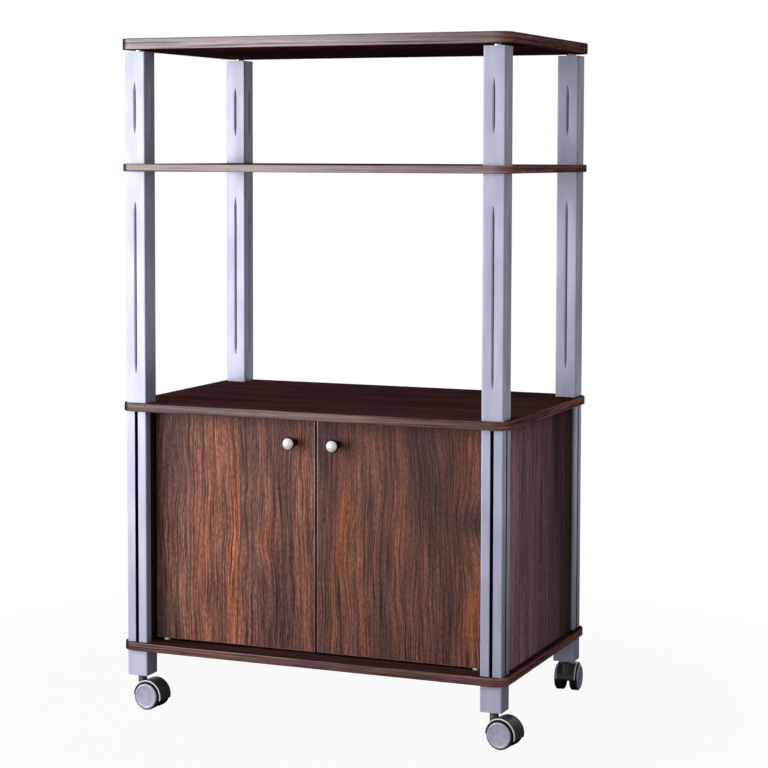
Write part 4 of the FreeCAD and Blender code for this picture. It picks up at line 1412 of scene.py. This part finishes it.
@dataclass
class Cabinet:
    """The boards, panels, doors and fastenings of the cart, and the solids that stay as they are."""

    def boards(self) -> List[Board]:
        """The four boards, each with its own run of grain."""
        face = {"plum": shade(66, 40, 41), "brown": shade(82, 51, 48), "warm": shade(94, 57, 48),
                "dark": shade(48, 30, 32), "vein": shade(36, 22, 22), "streaks": 0.3, "sway": 0.03,
                "contrast": 0.5, "chop": 0.4, "rough": 0.5, "gloss": 0.0}
        # The bands' two factors paint shade on the left end, and light on the right end and the upper edge.
        band = {"plum": shade(98, 66, 64), "brown": shade(122, 83, 78), "warm": shade(134, 88, 77),
                "dark": shade(74, 50, 49), "vein": shade(46, 31, 30), "sway": 0.002, "streaks": 0.3,
                "contrast": 0.75, "chop": 0.2, "rough": 0.36, "gloss": 0.0, "coat_index": 2.1,
                "painted_shade_and_light": (0.3, 2.1)}
        # The last number of each run is the strength of its band's painted highlight along the upper edge.
        runs = (("top_board", TOP_UNDERSIDE, TOP_TOP, 0.95, 1.0, 1.0),
                ("middle_shelf", SHELF_UNDERSIDE, SHELF_TOP, 1.0, 0.8, 0.5),
                ("cabinet_top", CABINET_UNDERSIDE, CABINET_TOP, 1.22, 0.3, 0.0),
                ("cabinet_floor", FLOOR_BOTTOM, FLOOR_TOP, 1.0, 0.4, 0.0))
        return [Board(node, bottom, top, Walnut(node + "_face", Grain.BOARD, 5.0 * count, tone=tone, **face),
                      Walnut(node + "_band", Grain.BAND, 5.0 * count + 2.0, coat=coat, **band), line)
                for count, (node, bottom, top, tone, coat, line) in enumerate(runs)]

    def doors(self) -> List[Door]:
        """Both doors, whose grain runs upright."""
        # The door band's second factor lightens its front rounding as a painted highlight.
        band = Walnut("door_band", Grain.BAND, 63.0, plum=shade(110, 80, 75), brown=shade(132, 97, 90),
                      warm=shade(144, 102, 88), sway=0.002, contrast=0.4, rough=0.24, gloss=1.0, coat=1.0,
                      painted_shade_and_light=(1.0, 2.6))
        shared = {"sway": 0.018, "olive_share": 0.3}
        left = Walnut("left_door_walnut", Grain.DOOR, 12.6, tone=1.06, contrast=0.86, **shared,
                      glows=(Patch(-0.1315, 0.0095, 0.9, 0.20, 0.22), Patch(-0.166, 0.020, 0.3),
                             Patch(-0.074, 0.011, 0.6, 0.272, 0.045), Patch(-0.021, 0.010, 0.4),
                             Patch(-0.235, 0.003, 0.5, 0.18, 0.08)),
                      shadows=(Patch(-0.066, 0.021, 0.95, 0.16, 0.08), Patch(-0.226, 0.026, 0.5, 0.37, 0.09),
                               Patch(-0.113, 0.003, 0.8), Patch(-0.055, 0.017, 0.75, 0.37, 0.08)),
                      swirls=(Swirl(-0.082, 0.262, 0.018, 0.035, 0.008),
                              Swirl(-0.215, 0.340, 0.018, 0.040, -0.009)))
        right = Walnut("right_door_walnut", Grain.DOOR, 27.4, tone=0.82, contrast=0.76, **shared,
                       glows=(Patch(0.047, 0.015, 0.85, 0.277, 0.075), Patch(0.026, 0.005, 0.4, 0.15, 0.07),
                              Patch(0.073, 0.006, 0.6, 0.15, 0.08), Patch(0.139, 0.004, 0.55, 0.31, 0.05),
                              Patch(0.240, 0.012, 0.85, 0.18, 0.09), Patch(0.236, 0.012, 0.35, 0.42, 0.06)),
                       shadows=(Patch(0.178, 0.032, 0.95, 0.36, 0.11), Patch(0.205, 0.013, 0.75, 0.17, 0.08),
                                Patch(0.081, 0.008, 0.5, 0.34, 0.10), Patch(0.242, 0.016, 1.0, 0.306, 0.022),
                                Patch(0.012, 0.010, 0.4), Patch(0.112, 0.010, 0.5)),
                       swirls=(Swirl(0.178, 0.430, 0.040, 0.055, 0.012),
                               Swirl(0.228, 0.304, 0.028, 0.040, 0.012),
                               Swirl(0.046, 0.240, 0.020, 0.080, 0.006)))
        return [Door("left", -1, left, band), Door("right", 1, right, band)]

    def kept(self) -> Dict[str, Finish]:
        """The solids that are shown as they are, with their finishes."""
        finishes: Dict[str, Finish] = {
            "left_side_panel": LEFT_WALNUT, "right_side_panel": RIGHT_WALNUT, "back_panel": BACK_WALNUT,
            "tube_end_plugs": BLACK_PLASTIC, "caster_sockets": BLACK_PLASTIC,
            "magnetic_catches": BLACK_PLASTIC, "connecting_studs": ZINC_PLATE, "caster_stems": ZINC_PLATE,
            "top_insert_nuts": BRIGHT_PLATE}
        for name in ("left", "right"):
            finishes[name + "_door_pins"] = PIN_PLATE
            finishes[name + "_knob_screw"] = ZINC_PLATE
            finishes[name + "_strike_plate"] = ZINC_PLATE
        for corner in Corner:
            finishes[corner.label + "_caster_axle"] = ZINC_PLATE
        return finishes

    def build(self) -> None:
        """Make the boards and doors, and dress the kept solids."""
        for board in self.boards():
            board.build()
        for door in self.doors():
            door.build()
        for node, finish in self.kept().items():
            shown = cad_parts[node]
            shown.data.materials.clear()
            shown.data.materials.append(finish.material())
            LOG.info("%s: kept as it is, in %s", node, finish.name)


@dataclass
class Posts:
    """All the posts: two tiers of slit tubes, the grooved cabinet posts and the feet."""

    def build(self) -> None:
        """Make every post, and the four feet as one piece."""
        feet = Surface()
        for corner in Corner:
            SlitPost("upper_post_" + corner.label, corner.place, SHELF_TOP, UPPER_POST_TOP).build()
            SlitPost("middle_post_" + corner.label, corner.place, CABINET_TOP, SHELF_UNDERSIDE).build()
            GroovedPost("cabinet_post_" + corner.label, corner.place, corner.place[1] < 0).build()
            SlitPost("foot_tubes", corner.place, FOOT_BOTTOM, FLOOR_BOTTOM, slits=False).add_to(feet)
        feet.piece("foot_tubes_set", FRAME_BODY, "silver_tube", FOOT_SILVER_PAINTED_LIGHT, ["foot_tubes"])


@dataclass
class Casters:
    """The four casters, standing as they came to rest."""

    front_left: float = -4.0
    front_right: float = -8.0
    back_left: float = 180.0
    back_right: float = 94.0

    def build(self) -> None:
        """Make each caster."""
        for corner in Corner:
            Caster(corner, getattr(self, corner.label)).build()


@dataclass
class Studio:
    """White floor and surround, two soft lamps and the camera."""

    eye: Tuple[float, float, float] = (1.25556, -2.94386, 0.81917)
    heading: float = 22.412
    dip: float = 3.876
    roll: float = 0.147
    lens: float = 101.139
    shift: float = -0.11
    key_place: Tuple[float, float, float] = (-1.05, -1.10, 0.62)
    key_size: Tuple[float, float] = (1.5, 1.2)
    key_power: float = 17.0
    back_place: Tuple[float, float, float] = (-0.7, 2.4, 1.5)
    back_size: Tuple[float, float] = (1.2, 1.2)
    back_power: float = 10.0
    aim: Tuple[float, float, float] = (0.0, 0.0, 0.52)
    dim_side: Colour = (0.03, 0.03, 0.032)
    bright_side: Colour = (0.76, 0.76, 0.79)
    bright_heading: float = 30.0
    floor_colour: Colour = (0.18, 0.18, 0.18)
    floor_radius: float = 6.0
    floor_white: float = 0.95
    shadow_reach: Tuple[float, float] = (0.45, 1.3)
    mirror_reach: Tuple[float, float] = (0.5, 3.0)
    backdrop_edge: Tuple[float, float] = (0.62, 0.80)
    sensor: float = 36.0

    def lamp(self, name: str, place: Sequence[float], size: Sequence[float], power: float,
             mirrored: bool) -> None:
        """One soft lamp turned to the middle of the cart.

        Args:
            name: the lamp's name.
            place: where it stands.
            size: width and height of its face.
            power: watts.
            mirrored: whether glossy surfaces show it.
        """
        light = bpy.data.lights.new(name, "AREA")
        light.shape = "RECTANGLE"
        light.size, light.size_y = size
        light.energy = power
        lamp = bpy.data.objects.new(name, light)
        lamp.location = place
        lamp.visible_camera = False
        lamp.visible_glossy = mirrored
        lamp.rotation_euler = (Vector(self.aim) - Vector(place)).to_track_quat("-Z", "Y").to_euler()
        bpy.context.scene.collection.objects.link(lamp)

    def floor(self) -> None:
        """A round white floor that shows the cart's faint shadow.

        Rings of points about the origin. Rays from the camera see mostly plain white, and only white
        further out. Mirror rays see the lit floor beside the cart and white further out.
        """
        radius = np.linspace(0.0, self.floor_radius, 13)[:, None]
        turn = np.linspace(0.0, 2 * math.pi, 65)
        rings = np.stack((radius * np.cos(turn), radius * np.sin(turn), 0 * radius * turn), axis=-1)
        made = Surface.of(rings)
        floor = bpy.data.objects.new("studio_floor", made.mesh("studio_floor", 30.0))
        bpy.context.scene.collection.objects.link(floor)
        material = bpy.data.materials.new("studio_floor")
        material.use_nodes = True
        tree = FinishTree(material.node_tree)
        place = tree.node("ShaderNodeTexCoord", output="Object")
        distance = tree.node("ShaderNodeVectorMath", {"operation": "LENGTH"}, {0: place}, "Value")
        lit = tree.node("ShaderNodeBsdfDiffuse", inputs={"Color": self.floor_colour})
        white = tree.node("ShaderNodeEmission", inputs={"Strength": 1.0})
        camera, mirror = self.seen(tree)
        rest = 1.0 - self.floor_white
        share = (camera * (self.floor_white + rest * tree.between(distance, *self.shadow_reach))
                 + mirror * tree.between(distance, *self.mirror_reach))
        shown = tree.node("ShaderNodeMixShader", inputs={0: share, 1: lit, 2: white})
        tree.node("ShaderNodeOutputMaterial", inputs={"Surface": shown})
        floor.data.materials.append(material)

    def seen(self, tree: FinishTree) -> Tuple[Sock, Sock]:
        """1 for rays from the camera, and 1 for mirror rays and rays through glass."""
        ray = tree.node("ShaderNodeLightPath").socket.node.outputs
        camera, glossy, clear = (Sock(tree, ray[name]) for name in
                                 ("Is Camera Ray", "Is Glossy Ray", "Is Transmission Ray"))
        return camera, tree.math("MINIMUM", glossy + clear, 1.0)

    def surround(self) -> None:
        """The world: white behind the cart, in a room that brightens evenly from one side to another.

        The white is seen by the camera all round, and by mirror rays that run on past the cart in
        the camera's own direction, where the backdrop hangs. The room is brightest at the front left
        and dimmest opposite.
        """
        world = bpy.data.worlds.new("studio_surround")
        bpy.context.scene.world = world
        world.use_nodes = True
        tree = FinishTree(world.node_tree)
        way = tree.node("ShaderNodeTexCoord", output="Generated")

        def towards(heading: float, front: float) -> Sock:
            """Cosine of the angle between a ray and a level heading."""
            turn = math.radians(heading)
            return tree.node("ShaderNodeVectorMath", {"operation": "DOT_PRODUCT"},
                             {0: way, 1: (-math.sin(turn), front * math.cos(turn), 0.0)}, "Value")

        camera, mirror = self.seen(tree)
        lit = tree.blend(0.5 + 0.5 * towards(self.bright_heading, -1.0), self.dim_side, self.bright_side)
        backdrop = mirror * tree.between(towards(self.heading, 1.0), *self.backdrop_edge)
        share = tree.math("MINIMUM", camera + backdrop, 1.0)
        colour = tree.blend(share, lit, (1.0, 1.0, 1.0))
        shown = tree.node("ShaderNodeBackground", inputs={"Color": colour, "Strength": 1.0})
        tree.node("ShaderNodeOutputWorld", inputs={"Surface": shown})

    def camera(self) -> None:
        """The camera at the photograph's view, its frame shifted and dipped below the horizon."""
        data = bpy.data.cameras.new("photo_view")
        data.lens = self.lens
        data.sensor_width = self.sensor
        data.shift_y = self.shift
        data.dof.use_dof = False
        camera = bpy.data.objects.new("photo_view", data)
        turn = (Matrix.Rotation(math.radians(self.heading), 4, "Z")
                @ Matrix.Rotation(math.radians(90.0 - self.dip), 4, "X")
                @ Matrix.Rotation(math.radians(self.roll), 4, "Z"))
        camera.matrix_world = Matrix.Translation(self.eye) @ turn
        bpy.context.scene.collection.objects.link(camera)
        bpy.context.scene.camera = camera

    def build(self) -> None:
        """Set up the floor, the surround, the lamps and the camera."""
        bpy.context.scene.view_settings.view_transform = "Standard"
        self.floor()
        self.surround()
        self.lamp("key_lamp", self.key_place, self.key_size, self.key_power, True)
        self.lamp("back_lamp", self.back_place, self.back_size, self.back_power, False)
        self.camera()
        LOG.info("studio set up")


def main() -> None:
    """Build the cart's sub-assemblies in order, then the studio."""
    logging.basicConfig(level=logging.INFO, format="%(name)s: %(message)s")
    for part in (Cabinet(), Posts(), Casters(), Studio()):
        part.build()


if __name__ == "__main__":
    main()
